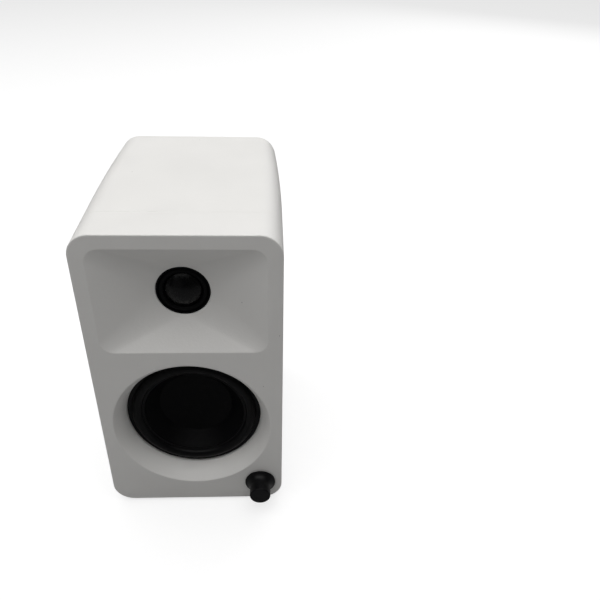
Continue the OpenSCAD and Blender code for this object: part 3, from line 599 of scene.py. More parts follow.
@lru_cache(maxsize=None)
def drift_effect() -> bpy.types.NodeTree:
    """Slow drift of a colour's brightness over a surface."""
    r, given, out = effect("Drift", {"Colour": (COLOUR, WHITE), "Size": (FLOAT, 0.03),
                                     "Amount": (FLOAT, 0.05)}, {"Colour": COLOUR, "Mask": FLOAT})
    noise = r.noise(given["Place"], given["Size"], Detail=4.0, Roughness=0.6)
    level = r.maths("ADD", r.maths("MULTIPLY", r.maths("SUBTRACT", noise, 0.5), given["Amount"]), 1.0)
    grey = r.add("ShaderNodeCombineColor", Red=level, Green=level, Blue=level)
    r.feed(out["Colour"], r.tint(1.0, given["Colour"], grey.outputs[0], "MULTIPLY"))
    r.feed(out["Mask"], noise)
    return r.tree


@lru_cache(maxsize=None)
def wear_effect() -> bpy.types.NodeTree:
    """Broken patches along exposed edges."""
    r, given, out = effect("Edge wear", {"Edge": (FLOAT, 0.0), "Size": (FLOAT, 0.002),
                                         "Amount": (FLOAT, 0.5)}, {"Mask": FLOAT})
    noise = r.noise(given["Place"], given["Size"], Detail=5.0, Roughness=0.7)
    patchy = r.maths("MULTIPLY", given["Edge"], r.spread(noise, 0.5, 0.75))
    r.feed(out["Mask"], r.maths("MULTIPLY", patchy, given["Amount"], clamp=True))
    return r.tree


@lru_cache(maxsize=None)
def speck_effect() -> bpy.types.NodeTree:
    """Sparse round specks: a few cells of a scatter of points, each within a radius of its point."""
    r, given, out = effect("Specks", {"Spacing": (FLOAT, 0.02), "Radius": (FLOAT, 0.02),
                                      "Share": (FLOAT, 0.3)}, {"Mask": FLOAT})
    cells = r.add("ShaderNodeTexVoronoi", Vector=given["Place"],
                  Scale=r.maths("DIVIDE", 1.0, given["Spacing"]), Randomness=1.0)
    chance = r.add("ShaderNodeSeparateColor", Color=cells.outputs["Color"]).outputs[0]
    near = r.maths("LESS_THAN", cells.outputs["Distance"], given["Radius"])
    r.feed(out["Mask"], r.maths("MULTIPLY", near, r.maths("LESS_THAN", chance, given["Share"])))
    return r.tree


@lru_cache(maxsize=None)
def weave_effect() -> bpy.types.NodeTree:
    """Plain weave in the front view: warp and weft humps that pass over each other in turn."""
    r, given, out = effect("Weave", {"Pitch": (FLOAT, 0.0003)}, {"Height": FLOAT})
    parts = r.add("ShaderNodeSeparateXYZ", Vector=given["Place"])
    turns = r.maths("DIVIDE", math.pi, given["Pitch"])
    over = r.maths("MULTIPLY", *(r.maths("SINE", r.maths("MULTIPLY", parts.outputs[k], turns)) for k in "XZ"))
    r.feed(out["Height"], r.maths("ADD", r.maths("MULTIPLY", over, 0.5), 0.5))
    return r.tree


@lru_cache(maxsize=None)
def lathe_effect() -> bpy.types.NodeTree:
    """Turning marks: fine rings round the depth axis, each a little different in height."""
    r, given, out = effect("Turning marks", {"Pitch": (FLOAT, 0.0003)}, {"Height": FLOAT})
    parts = r.add("ShaderNodeSeparateXYZ", Vector=given["Place"])
    squares = [r.maths("POWER", r.maths("ABSOLUTE", parts.outputs[k]), 2.0) for k in "XZ"]
    radius = r.maths("SQRT", r.maths("ADD", *squares))
    steps = r.maths("ADD", *(r.maths("DIVIDE", run, given["Pitch"]) for run in (radius, parts.outputs["Y"])))
    noise = r.add("ShaderNodeTexNoise", {"noise_dimensions": "1D"}, W=steps, Scale=1.0, Detail=3.0)
    r.feed(out["Height"], noise.outputs["Fac"])
    return r.tree


@lru_cache(maxsize=None)
def fibre_effect() -> bpy.types.NodeTree:
    """Tangled fibres: two stretched noises at right angles, sharpened into threads."""
    r, given, out = effect("Fibres", {"Size": (FLOAT, 0.0006)}, {"Height": FLOAT})
    heights = []
    for squeeze in ((1.0, 0.5, 0.16), (0.16, 0.7, 1.0)):
        stretched = r.add("ShaderNodeMapping", {"vector_type": "POINT"}, Vector=given["Place"], Scale=squeeze)
        heights.append(r.noise(stretched.outputs[0], given["Size"], Detail=4.0, Roughness=0.65,
                               Distortion=1.5))
    r.feed(out["Height"], r.maths("MAXIMUM", *heights))
    return r.tree


class Surface(Recipe):
    """A finish's material under way, with its object coordinates and its shader at hand."""

    def __init__(self, finish: "Finish") -> None:
        """Makes the material, with the finish's constants set."""
        self.finish, self.rgba = finish, (*finish.colour, 1.0)
        self.material = bpy.data.materials.new(finish.name)
        self.material.use_nodes = True
        self.material.diffuse_color = self.rgba
        super().__init__(self.material.node_tree)
        self.tree.nodes.clear()
        self.shader = self.add("ShaderNodeBsdfPrincipled", Roughness=finish.rough, Base_Color=self.rgba,
                               Specular_IOR_Level=finish.shine)
        self.tree.links.new(self.shader.outputs[0], self.add("ShaderNodeOutputMaterial").inputs[0])
        self.place = self.add("ShaderNodeTexCoord").outputs["Object"]

    def use(self, group: bpy.types.NodeTree, **inputs: Value) -> bpy.types.bpy_prop_collection:
        """Places a shared effect on the object's coordinates and gives its outputs."""
        node = self.add("ShaderNodeGroup", {"node_tree": group})
        for key, value in {"Place": self.place, **inputs}.items():
            self.feed(node.inputs[key], value)
        return node.outputs

    def drift(self) -> bpy.types.bpy_prop_collection:
        """The finish's slow drift of colour."""
        size = self.finish.drift_size * MM
        return self.use(drift_effect(), Colour=self.rgba, Size=size, Amount=self.finish.drift)

    def colour(self, share: Value, a: Value, b: Value) -> None:
        """Mixes two colours into the shader's own."""
        self.feed(self.shader.inputs["Base Color"], self.tint(share, a, b))

    def roughen(self, source: Value, at_low: float, at_high: float, low: float = 0.3,
                high: float = 0.7) -> None:
        """Adds to the finish's roughness: one amount where a value is low, another where it is high."""
        rough = self.finish.rough
        spread = self.spread(source, low, high, rough + at_low, rough + at_high)
        self.feed(self.shader.inputs["Roughness"], spread)

    def emboss(self, height: Value) -> None:
        """Feeds a height of 0 to 1 to the shader's normal, at the finish's relief."""
        bump = self.add("ShaderNodeBump", Strength=1.0, Distance=self.finish.relief * MM, Height=height)
        self.feed(self.shader.inputs["Normal"], bump.outputs[0])


@dataclass(frozen=True)
class Finish:
    """What every finish has: a name, a colour, a roughness, and the height of its relief in millimetres."""

    name: str
    colour: Colour
    rough: float
    relief: float = 0.02
    shine: float = 0.5
    drift: float = 0.25
    drift_size: float = 8.0

    def material(self) -> bpy.types.Material:
        """The material, made once."""
        made = bpy.data.materials.get(self.name)
        if made is None:
            surface = Surface(self)
            self.mix(surface)
            made = surface.material
        return made

    def toned(self, gain: float, lift: float = 0.0) -> tuple[float, ...]:
        """The colour made lighter or darker."""
        return (*(min(1.0, gain * c + lift) for c in self.colour), 1.0)

    def mix(self, s: Surface) -> None:
        """Adds what the finish is made of to its surface."""
        raise NotImplementedError


@dataclass(frozen=True)
class Paint(Finish):
    """Sprayed paint: orange peel and fine grain, drifting brightness, stray specks and worn edges."""

    peel: float = 1.4
    peel_share: float = 0.7
    grain: float = 0.12
    drift: float = 0.05
    drift_size: float = 35.0
    speck: Colour = (0.12, 0.11, 0.10)
    speck_gap: float = 11.0
    speck_r: float = 0.018
    speck_share: float = 0.9
    under: Colour = (0.52, 0.45, 0.36)
    wear: float = 0.25
    wear_size: float = 1.6

    def mix(self, s: Surface) -> None:
        """Adds the drift, the specks, the wear and the two grains."""
        slow = s.drift()
        specks = s.use(speck_effect(), Spacing=self.speck_gap * MM, Radius=self.speck_r,
                       Share=self.speck_share)
        edge = s.add("ShaderNodeAttribute", {"attribute_name": "edge"}).outputs["Fac"]
        worn = s.use(wear_effect(), Edge=edge, Size=self.wear_size * MM, Amount=self.wear)
        s.colour(worn["Mask"], s.tint(specks["Mask"], slow["Colour"], (*self.speck, 1.0)), (*self.under, 1.0))
        s.roughen(slow["Mask"], -0.04, 0.05)
        coarse = s.use(grain_effect(), Size=self.peel * MM, Detail=1.0)["Height"]
        fine = s.use(grain_effect(), Size=self.grain * MM, Detail=2.0)["Height"]
        s.emboss(s.maths("ADD", s.maths("MULTIPLY", coarse, self.peel_share),
                         s.maths("MULTIPLY", fine, 1 - self.peel_share)))


@dataclass(frozen=True)
class Moulding(Finish):
    """Moulded plastic: mould grain, faint flow marks and a little dust."""

    grain: float = 0.18
    dust: float = 0.05
    dust_gap: float = 3.5
    dust_r: float = 0.03
    coat: float = 0.0

    def mix(self, s: Surface) -> None:
        """Adds the flow marks, the dust and the grain."""
        slow = s.drift()
        specks = s.use(speck_effect(), Spacing=self.dust_gap * MM, Radius=self.dust_r, Share=self.dust)
        s.colour(specks["Mask"], slow["Colour"], self.toned(0.5, 0.18))
        s.roughen(slow["Mask"], -0.05, 0.07)
        s.shader.inputs["Coat Weight"].default_value = self.coat
        s.emboss(s.use(grain_effect(), Size=self.grain * MM, Detail=2.0)["Height"])


@dataclass(frozen=True)
class Pulp(Finish):
    """Coated paper pulp: matted fibres under a thin satin coat, with a painted highlight where the fibres
    stand up.
    """

    drift: float = 0.5
    drift_size: float = 6.0
    fibre: float = 0.7

    def mix(self, s: Surface) -> None:
        """Adds the fibres, smoother where they stand up, with a painted highlight on them there."""
        slow = s.drift()
        height = s.use(fibre_effect(), Size=self.fibre * MM)["Height"]
        # painted highlight: the colour is made paler where the fibre relief is high
        s.colour(s.spread(height, 0.45, 0.8), slow["Colour"], self.toned(1.7, 0.002))
        s.roughen(height, 0.06, -0.06, low=0.4, high=0.8)
        s.emboss(height)


@dataclass(frozen=True)
class Cloth(Finish):
    """Treated cloth: a plain weave with uneven threads, painted shade between the threads, and a soft sheen.
    """

    drift: float = 0.5
    drift_size: float = 2.0
    pitch: float = 0.32
    sheen: float = 0.3

    def mix(self, s: Surface) -> None:
        """Adds the weave, with painted shade between its threads."""
        slow = s.drift()
        height = s.use(weave_effect(), Pitch=self.pitch * MM)["Height"]
        # painted shade: the colour is darkened where the weave is low, between the threads
        s.colour(height, self.toned(0.55), slow["Colour"])
        s.roughen(slow["Mask"], -0.05, 0.05)
        s.shader.inputs["Sheen Weight"].default_value = self.sheen
        s.emboss(height)


@dataclass(frozen=True)
class Wool(Finish):
    """Loose fibres, such as wadding or felt, with painted shade between the fibres."""

    fibre: float = 1.2
    # share by which the painted shade between the fibres darkens the colour
    painted_gap_shade: float = 0.6
    sheen: float = 0.4

    def mix(self, s: Surface) -> None:
        """Adds the fibres, with painted shade between them."""
        height = s.use(fibre_effect(), Size=self.fibre * MM)["Height"]
        # painted shade: darker colour where the fibres are low, between them
        s.colour(s.spread(height, 0.35, 0.7), self.toned(1 - self.painted_gap_shade), s.rgba)
        s.shader.inputs["Sheen Weight"].default_value = self.sheen
        s.emboss(height)


@dataclass(frozen=True)
class Metal(Finish):
    """Bare or plated metal with turning marks round a centre, and faint tarnish."""

    drift_size: float = 4.0
    mark: float = 0.25
    centre: tuple[float, float] = (0.0, 0.0)

    def mix(self, s: Surface) -> None:
        """Adds the tarnish and the turning marks."""
        centred = s.add("ShaderNodeMapping", {"vector_type": "POINT"}, Vector=s.place,
                        Location=(-self.centre[0], 0.0, -self.centre[1]))
        marks = s.use(lathe_effect(), Place=centred.outputs[0], Pitch=self.mark * MM)["Height"]
        s.feed(s.shader.inputs["Base Color"], s.drift()["Colour"])
        s.shader.inputs["Metallic"].default_value = 1.0
        s.roughen(marks, -0.06, 0.08, low=0.25, high=0.75)
        s.emboss(marks)


@dataclass(frozen=True)
class CircuitBoard(Finish):
    """Solder mask over copper tracks: a grid of broken straight lines, paler where copper lies under it."""

    drift: float = 0.3
    drift_size: float = 10.0
    track: float = 2.2

    def mix(self, s: Surface) -> None:
        """Adds the tracks, laid in the board's plane."""
        upright = s.add("ShaderNodeMapping", {"vector_type": "POINT"}, Vector=s.place,
                        Rotation=(math.pi / 2, 0.0, 0.0))
        runs = s.add("ShaderNodeTexBrick", {"offset": 0.37, "squash": 0.6, "squash_frequency": 3},
                     Vector=upright.outputs[0], Scale=1 / (self.track * MM) / 4, Mortar_Size=0.035)
        slow = s.drift()
        s.colour(runs.outputs["Fac"], slow["Colour"], self.toned(1.6, 0.03))
        s.roughen(slow["Mask"], -0.04, 0.06)
        s.emboss(runs.outputs["Fac"])


@dataclass(frozen=True)
class StudioFloor(Finish):
    """A pale floor that looks white to the camera and gives back less light to the speaker."""

    lift: float = 0.5

    def mix(self, s: Surface) -> None:
        """Adds light of its own that only the camera sees."""
        seen = s.add("ShaderNodeLightPath").outputs["Is Camera Ray"]
        s.shader.inputs["Emission Color"].default_value = WHITE
        s.shader.inputs["Specular IOR Level"].default_value = 0.0
        s.feed(s.shader.inputs["Emission Strength"], s.maths("MULTIPLY", seen, self.lift))


@dataclass(frozen=True)
class Palette:
    """Every finish on the speaker."""

    cabinet: Paint = Paint("Matt off-white paint", (0.80, 0.79, 0.768), 0.55, 0.07)
    rear_board: Paint = Paint("Rear board paint", (0.76, 0.75, 0.72), 0.6, 0.06, peel=1.0)
    enamel: Paint = Paint("Black enamel", (0.022, 0.022, 0.024), 0.38, 0.03, speck=(0.2, 0.2, 0.2),
                          under=(0.4, 0.4, 0.4), wear=0.5)
    panel: Paint = Paint("Black powder coat", (0.026, 0.026, 0.028), 0.5, 0.09, peel=0.45, grain=0.15,
                         speck=(0.14, 0.14, 0.14), under=(0.3, 0.3, 0.3), wear=0.4)
    knob: Moulding = Moulding("Satin black knob", (0.0025, 0.0025, 0.003), 0.38, 0.015, 0.17, grain=0.14)
    black: Moulding = Moulding("Black moulding", (0.011, 0.011, 0.012), 0.46, 0.03, 0.35)
    dull: Moulding = Moulding("Dull black moulding", (0.003, 0.003, 0.0034), 0.5, 0.03, 0.1, grain=0.2)
    port: Moulding = Moulding("Black port moulding", (0.018, 0.018, 0.019), 0.5, 0.03, grain=0.3)
    white: Moulding = Moulding("White moulding", (0.78, 0.78, 0.75), 0.35, 0.01, coat=0.2)
    red: Moulding = Moulding("Red moulding", (0.42, 0.012, 0.012), 0.35, 0.01, coat=0.2)
    sleeve: Moulding = Moulding("Capacitor sleeve", (0.012, 0.02, 0.075), 0.3, 0.005, coat=0.4)
    lead: Moulding = Moulding("Lead insulation", (0.36, 0.015, 0.015), 0.4, 0.005)
    rubber: Moulding = Moulding("Satin black rubber", (0.0022, 0.0022, 0.0026), 0.38, 0.015, 0.12, grain=0.25)
    foam: Wool = Wool("Black foam", (0.03, 0.03, 0.03), 0.9, 0.1, fibre=0.5)
    phenolic: Moulding = Moulding("Phenolic board", (0.2, 0.085, 0.03), 0.45, 0.02, grain=0.4)
    cone: Pulp = Pulp("Coated black pulp", (0.0016, 0.0016, 0.002), 0.48, 0.03, 0.07)
    former: Pulp = Pulp("Kraft paper", (0.42, 0.26, 0.12), 0.6, 0.03)
    silk: Cloth = Cloth("Coated black silk", (0.0018, 0.0018, 0.0022), 0.27, 0.0015, 0.17, pitch=0.26,
                        sheen=0.0)
    spider: Cloth = Cloth("Resin-treated cotton", (0.55, 0.36, 0.09), 0.6, 0.06, pitch=0.45)
    wadding: Wool = Wool("Polyester wadding", (0.82, 0.81, 0.77), 0.95, 0.5, fibre=2.0, painted_gap_shade=0.25)
    felt: Wool = Wool("Grey felt", (0.13, 0.13, 0.13), 0.95, 0.15, fibre=0.4)
    zinc: Metal = Metal("Zinc-plated steel", (0.62, 0.63, 0.64), 0.34, 0.012)
    nickel: Metal = Metal("Nickel plate", (0.55, 0.53, 0.50), 0.34, 0.001, mark=0.5, drift=0.15)
    brass: Metal = Metal("Turned brass", (0.76, 0.58, 0.27), 0.28, 0.008)
    copper: Metal = Metal("Enamelled copper", (0.62, 0.24, 0.09), 0.3, 0.02, mark=0.35)
    sink: Metal = Metal("Black anodised aluminium", (0.035, 0.035, 0.04), 0.42, 0.012)
    ferrite: Moulding = Moulding("Ferrite", (0.05, 0.05, 0.052), 0.6, 0.05, grain=0.5)
    board: CircuitBoard = CircuitBoard("Circuit board", (0.012, 0.11, 0.045), 0.3, 0.035)


# --- Sub-assemblies ---


@dataclass
class Assembly:
    """A set of pieces that share the datum and the palette. LOOKS names the nodes that take each finish."""

    LOOKS: ClassVar[dict[str, Sequence[str]]] = {}

    datum: Datum
    palette: Palette
    pieces: dict[str, bpy.types.Object] = field(default_factory=dict, init=False)

    def claim(self, node: str, piece: bpy.types.Object) -> bpy.types.Object:
        """Lets a piece stand for a CAD node, whose own part is hidden."""
        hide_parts(node)
        self.pieces[node] = piece
        return piece

    def keep(self, node: str, piece: bpy.types.Object) -> bpy.types.Object:
        """Claims a CAD node for a piece that rides on the node's body."""
        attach(piece, BODY_OF[node])
        return self.claim(node, piece)

    def add(self, node: str, skin: Skin, crease: float = 38.0) -> bpy.types.Object:
        """Makes a piece from a surface in place of a CAD node."""
        return self.keep(node, make_object(f"finished_{node}", skin, crease))

    def add_copies(self, ease: float, nodes: Sequence[str], flat_area: float = ANY_AREA) -> None:
        """Makes pieces from CAD nodes' own shapes, with their edges rounded."""
        for node in nodes:
            self.keep(node, make_copy(f"finished_{node}", node, ease, flat_area=flat_area))

    def lathe(self, node: str, stretches: Sequence[np.ndarray], steps: int = 160,
              closed: bool = True) -> Skin:
        """Turns a profile given in stretches about the middle of a node."""
        return turned(self.datum, np.vstack(stretches), *self.datum.middle(node), steps, closed)

    def add_moving_skin(self, node: str, skin: Skin, moving: str, fixed_r: float, moving_r: float) -> None:
        """Makes a soft ring in place of a CAD node, and works out each point's distance from the cone's or
        dome's axis.

        Args:
            node: the CAD node.
            skin: its surface.
            moving: the body that moves with the cone or dome; not used.
            fixed_r: the radius in millimetres from which the ring would stay with the cabinet; not used.
            moving_r: the radius up to which the ring would move with the body; not used.
        """
        across, up = self.datum.middle(node)
        piece = make_object(f"finished_{node}", skin)
        ends = [tuple(self.datum.place(across, d, up)) for d in self.datum.span(node)]
        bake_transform(piece)
        points = np.empty(len(piece.data.vertices) * 3)
        piece.data.vertices.foreach_get("co", points)
        points = points.reshape(-1, 3) - self.datum.place(across, 0.0, up)
        radius = np.hypot(points[:, 0], points[:, 2]) / MM
        self.claim(node, piece)

    def mesh(self) -> None:
        """Builds the pieces."""
        raise NotImplementedError

    def finish(self, look: str) -> Finish:
        """One finish of the palette."""
        return getattr(self.palette, look)

    def dress(self) -> None:
        """Gives the pieces their finishes and reports each."""
        for look, nodes in self.LOOKS.items():
            finish = self.finish(look)
            for node in nodes:
                piece = self.pieces[node]
                piece.data.materials.clear()
                piece.data.materials.append(finish.material())
                LOG.info("%s: %d faces, %s", piece.name, len(piece.data.polygons), finish.name)


@dataclass
class Cabinet(Assembly):
    """The painted box: front baffle, curved shell, rear panel, port, wadding and feet."""

    FEET: ClassVar[tuple[str, ...]] = ("foot_front_left", "foot_front_right", "foot_rear_left",
                                       "foot_rear_right")
    LOOKS: ClassVar[dict[str, Sequence[str]]] = {
        "cabinet": ("front_baffle", "cabinet_shell"), "rear_board": ("rear_panel",), "port": ("port_tube",),
        "wadding": ("damping_pads",), "rubber": FEET,
    }

    corner: float = 11.4
    front_bevel: float = 0.6
    rear_bevel: float = 0.8
    seam: float = 0.12
    side_straight: float = 47.0
    side_curve: float = 2.9
    side_rows: int = 41
    hollow_corner: float = 3.0
    split_up: float = 105.3
    recess_r: float = 43.4
    seat_r: float = 37.8
    recess_d: float = 13.5
    recess_power: float = 2.2
    recess_cuts: int = 14
    pocket_r: float = 42.4
    guide: Section = Section(42.5, 29.5, 7.0)
    throat_r: float = 13.8
    throat_lip: float = 0.25
    guide_d: float = 12.2
    guide_ease: float = 0.12
    guide_cuts: int = 26
    tweeter_seat: float = 14.0
    tweeter_pocket_r: float = 20.4
    edge_ease: float = 0.35
    hold: float = 0.4
    port_r: float = 13.0
    port_wall: float = 2.0
    port_flare: float = 5.0
    port_flange: float = 4.0
    window: Section = Section(29.0, 45.0, 3.0)
    panel_pitch: float = 1.6
    pad_t: float = 5.0
    foot_r: float = 6.0

    def sizes(self) -> tuple[float, float, float, float]:
        """The cabinet's width, height, depth and baffle thickness, from the frame."""
        foot, top = self.datum.heights("front_baffle")
        return (2 * self.datum.half_width("front_baffle"), top - foot, self.datum.span("cabinet_shell")[1],
                self.datum.span("front_baffle")[1])

    def rim_rows(self, thick: float) -> list[Ring]:
        """The baffle's rim: the front bevel, the side, and the small chamfer at the seam behind."""
        bevel, hold = self.front_bevel, self.hold
        turns = np.linspace(0, math.pi / 2, 5)
        return [
            Ring(0.0, inset=bevel + hold),
            *[Ring(bevel * (1 - math.cos(t)), inset=bevel * (1 - math.sin(t)), wear=math.sin(2 * t))
              for t in turns],
            Ring(bevel + hold), Ring(thick - self.seam - hold), Ring(thick - self.seam),
            Ring(thick, inset=self.seam), Ring(thick, inset=self.seam + hold),
        ]

    def mouth_rows(self, mouth: Section, wall: Callable[[float], Section], start: float, end: float,
                   count: int) -> list[Ring]:
        """A flared wall's rows up to its mouth, and the mouth's softened edge.

        Args:
            mouth: the section of the mouth in the front face.
            wall: gives the wall's section at a depth.
            start: the depth behind the first row.
            end: the depth where the softened edge starts.
            count: rows from start to end, both included.

        Returns:
            The rows.
        """
        e = self.edge_ease
        return [*[Ring(float(d), wall(d)) for d in np.linspace(start, end, count)[1:-1]],
                *bent_edge((wall(end), mouth, mouth.grown(e)), (end, 0.0, 0.0)),
                Ring(0.0, mouth.grown(e + self.hold))]

    def woofer_rows(self, thick: float) -> list[Ring]:
        """The round recess: pocket, seat, a wall that flares to the front, and its softened front edge."""
        seat, mouth, pocket = (Section.circle(r) for r in (self.seat_r, self.recess_r, self.pocket_r))
        e, deep = self.edge_ease, self.recess_d

        def wall(depth: float) -> Section:
            """The wall's section, which closes in faster near the front."""
            return mouth.toward(seat, 1 - (1 - depth / deep) ** self.recess_power)

        return [Ring(thick, pocket), Ring(deep, pocket),
                *bent_edge((seat.grown(e), seat, wall(deep - e)), (deep, deep, deep - e)),
                *self.mouth_rows(mouth, wall, deep - e, e, self.recess_cuts)]

    def guide_rows(self, thick: float) -> list[Ring]:
        """The waveguide: pocket, seat, round throat, and a flare from the circle to the rectangle."""
        throat, pocket = Section.circle(self.throat_r), Section.circle(self.tweeter_pocket_r)
        lip, deep, seat = self.throat_lip, self.guide_d, self.tweeter_seat

        def wall(depth: float) -> Section:
            """The wall's section, in proportion to the depth."""
            return self.guide.toward(throat, depth / deep)

        return [Ring(thick, pocket), Ring(seat, pocket), Ring(seat, throat),
                *bent_edge((throat, throat, wall(deep - lip)), (deep + lip, deep, deep - lip)),
                *self.mouth_rows(self.guide, wall, deep - lip, self.guide_ease, self.guide_cuts)]

    def baffle(self) -> Skin:
        """The front baffle as two zones, one round each driver, that meet on a level line."""
        width, height, _, thick = self.sizes()
        halves = ((0.0, "woofer_cone", self.woofer_rows), (height, "tweeter_dome", self.guide_rows))
        return Skin.joined([
            Zone(width, self.split_up, end, self.corner, self.datum.middle(node)[1],
                 (*rows(thick), *self.rim_rows(thick))).skin(self.datum) for end, node, rows in halves])

    def outline(self, width: float, height: float, corner: float, low: float) -> np.ndarray:
        """A rounded rectangle as a fixed number of points, anticlockwise from its right side's foot.

        Args:
            width: its width.
            height: its height.
            corner: its corners' radius.
            low: the height of its lowest side.

        Returns:
            The points across and up.
        """
        turn = np.linspace(0, math.pi / 2, QUARTER_STEPS + 1)
        x, z = width / 2 - corner, height / 2 - corner
        quarters = [arc(sx * x, sz * z, corner, turn + (k - 1) * math.pi / 2)
                    for k, (sx, sz) in enumerate(((1, -1), (1, 1), (-1, 1), (-1, -1)))]
        share = np.linspace(0, 1, self.side_rows + 1)[1:-1, None]
        loop = []
        for quarter, after in zip(quarters, quarters[1:] + quarters[:1]):
            loop += [quarter, quarter[-1] * (1 - share) + after[0] * share]
        return np.vstack(loop) + [0.0, low + height / 2]

    def shell(self) -> Skin:
        """The box behind the baffle: straight sides, then an arc of a large circle in plan on each side.

        At a depth beyond the straight stretch, each side has moved in by R - sqrt(R^2 - t^2), where t is the
        distance beyond it and R is the radius that gives the full curve at the rear.

        Returns:
            The closed shell, from the seam back to the rear edge and forward along the hollow.
        """
        width, height, depth, thick = self.sizes()
        foot, top = self.datum.heights("rear_panel")
        hollow_w, hollow_h = 2 * self.datum.half_width("rear_panel"), top - foot
        run = depth - self.side_straight
        radius = (run**2 + self.side_curve**2) / (2 * self.side_curve)
        bevel, seam, hold = self.rear_bevel, self.seam, self.hold

        def outer(at: float, inset: float) -> np.ndarray:
            """The outer outline at a depth, set in by a distance."""
            beyond = max(0.0, at - self.side_straight)
            drawn = radius - math.sqrt(radius**2 - beyond**2)
            return self.outline(width - 2 * drawn - 2 * inset, height - 2 * inset, self.corner - inset, inset)

        def inner(grow: float) -> np.ndarray:
            """The hollow's outline, moved outwards."""
            return self.outline(hollow_w + 2 * grow, hollow_h + 2 * grow, self.hollow_corner + grow,
                                (height - hollow_h) / 2 - grow)

        curved = np.linspace(self.side_straight, depth - bevel - hold, 26)[1:]
        rows = [(thick, outer(thick, seam + hold), 0.0), (thick, outer(thick, seam), 0.0),
                (thick + seam, outer(thick, 0.0), 0.0)]
        rows += [(at, outer(at, 0.0), 0.0) for at in (thick + seam + hold, self.side_straight, *curved)]
        rows += [(depth - bevel * (1 - math.sin(t)), outer(depth, bevel * (1 - math.cos(t))), math.sin(2 * t))
                 for t in np.linspace(0, math.pi / 2, 5)]
        rows += [(depth, outer(depth, bevel + hold), 0.0), (depth, inner(seam + hold), 0.0),
                 (depth, inner(seam), 0.0), (depth - seam, inner(0.0), 0.0),
                 (depth - seam - hold, inner(0.0), 0.0), (thick, inner(0.0), 0.0)]
        depths, flat, wear = (np.array(column) for column in zip(*rows))
        depths = np.broadcast_to(depths[:, None], flat.shape[:2])
        return Skin.from_grid(self.datum.place(flat[..., 0], depths, flat[..., 1]), wear, close_rows=True)

    def rear_panel(self) -> Skin:
        """The rear panel, with the amplifier's window below and the port's hole above."""
        width = 2 * self.datum.half_width("rear_panel")
        foot, top = self.datum.heights("rear_panel")
        near, far = self.datum.span("rear_panel")
        plate_up, port_up = self.datum.middle("amp_plate")[1], self.datum.middle("port_tube")[1]
        port = Section.circle(self.port_r + self.port_wall)
        split = (plate_up + self.window.half_h + port_up - port.half_h) / 2
        zones = []
        for end, up, hole in ((foot, plate_up, self.window), (top, port_up, port)):
            rings = (
                Ring(near, hole), Ring(far - self.hold, hole), Ring(far, hole),
                Ring(far, hole.grown(self.hold)),
                Ring(far, inset=self.seam + self.hold), Ring(far, inset=self.seam), Ring(far - self.seam),
                Ring(near + self.hold), Ring(near), Ring(near, inset=self.hold),
            )
            zones.append(Zone(width, split, end, self.hollow_corner, up, rings, self.panel_pitch))
        return Skin.joined([zone.skin(self.datum) for zone in zones])

    def port(self) -> Skin:
        """The bass port: a tube whose bore opens in a quarter circle at its flange."""
        start, mouth = self.datum.span("port_tube")
        face, bore, flare_r = self.sizes()[2], self.port_r, self.port_flare
        outside = bore + self.port_wall
        flange = outside + self.port_flange
        turn = np.linspace(0, math.pi / 2, 13)
        flare = np.stack([bore + flare_r * (1 - np.cos(turn)), mouth - flare_r * (1 - np.sin(turn)),
                          np.zeros(13)], axis=1)
        solid = eased([(bore, start, 0.5), (outside, start, 0.5), (outside, face, 0.0), (flange, face, 0.1),
                       (flange, mouth, 0.6), (bore + flare_r, mouth, 0.0)], closed=False)
        ends = [[bore, (start + mouth) / 2, 0.0], [bore, start + 1, 0.0]]
        return self.lathe("port_tube", [solid[:-1], flare[::-1], ends], steps=128)

    def pad(self, side: int) -> Skin:
        """One crowned, lumpy pad of wadding on a side wall.

        Its thickness falls from the middle as the fourth root of one minus the sum of the sixth powers of
        both shares, and soft waves of three lengths make it lumpy.

        Args:
            side: -1 for the left wall, 1 for the right.

        Returns:
            The pad.
        """
        (y0, y1), (z0, z1) = self.datum.span("damping_pads"), self.datum.heights("damping_pads")
        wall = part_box("damping_pads")[1].x / MM
        u, v = np.meshgrid(np.linspace(-1, 1, 90), np.linspace(-1, 1, 150), indexing="ij")
        crown = np.clip(1 - np.abs(u) ** 6 - np.abs(v) ** 6 + (np.abs(u * v)) ** 6, 0, 1) ** 0.25
        lumps = (np.sin(5.1 * u + 2.3 * v + side) + np.sin(9.7 * v - 3.1 * u)
                 + np.sin(17 * u * v + 4 * v)) / 3
        rise = self.pad_t * crown * (0.86 + 0.1 * lumps) + 0.05
        y, z = (y0 + y1) / 2 + u * (y1 - y0) / 2, (z0 + z1) / 2 + v * (z1 - z0) / 2
        sheets = [self.datum.place(side * (wall - np.minimum(rise, self.pad_t)), y, z),
                  self.datum.place(np.full_like(y, side * wall), y, z)]
        edges = np.stack([np.concatenate([g[0, :-1], g[:-1, -1], g[-1, :0:-1], g[:0:-1, 0]]) for g in sheets])
        return Skin.joined([*[Skin.from_grid(g, np.zeros(90), close_columns=False) for g in sheets],
                            Skin.from_grid(edges, np.zeros(2))])

    def foot(self, node: str) -> Skin:
        """A rubber foot: a low disc with a tapered lower half and a softened edge."""
        floor, top = self.datum.heights(node)
        r, step = self.foot_r, (top - floor) / 4
        profile = eased([(0, floor, 0), (r - step, floor, 0.25), (r, floor + 2 * step, 0.4), (r, top, 0.1),
                         (0, top, 0)], closed=False)
        return turned(self.datum, profile, self.datum.middle(node)[0], sum(self.datum.span(node)) / 2,
                      steps=64, closed=False, axis=Axis.UPRIGHT)

    def mesh(self) -> None:
        """Builds the cabinet's pieces."""
        self.add("front_baffle", self.baffle())
        self.add("cabinet_shell", self.shell())
        self.add("rear_panel", self.rear_panel())
        self.add("port_tube", self.port())
        pads = self.add("damping_pads", Skin.joined([self.pad(-1), self.pad(1)]), crease=80.0)
        for node in self.FEET:
            self.add(node, self.foot(node))


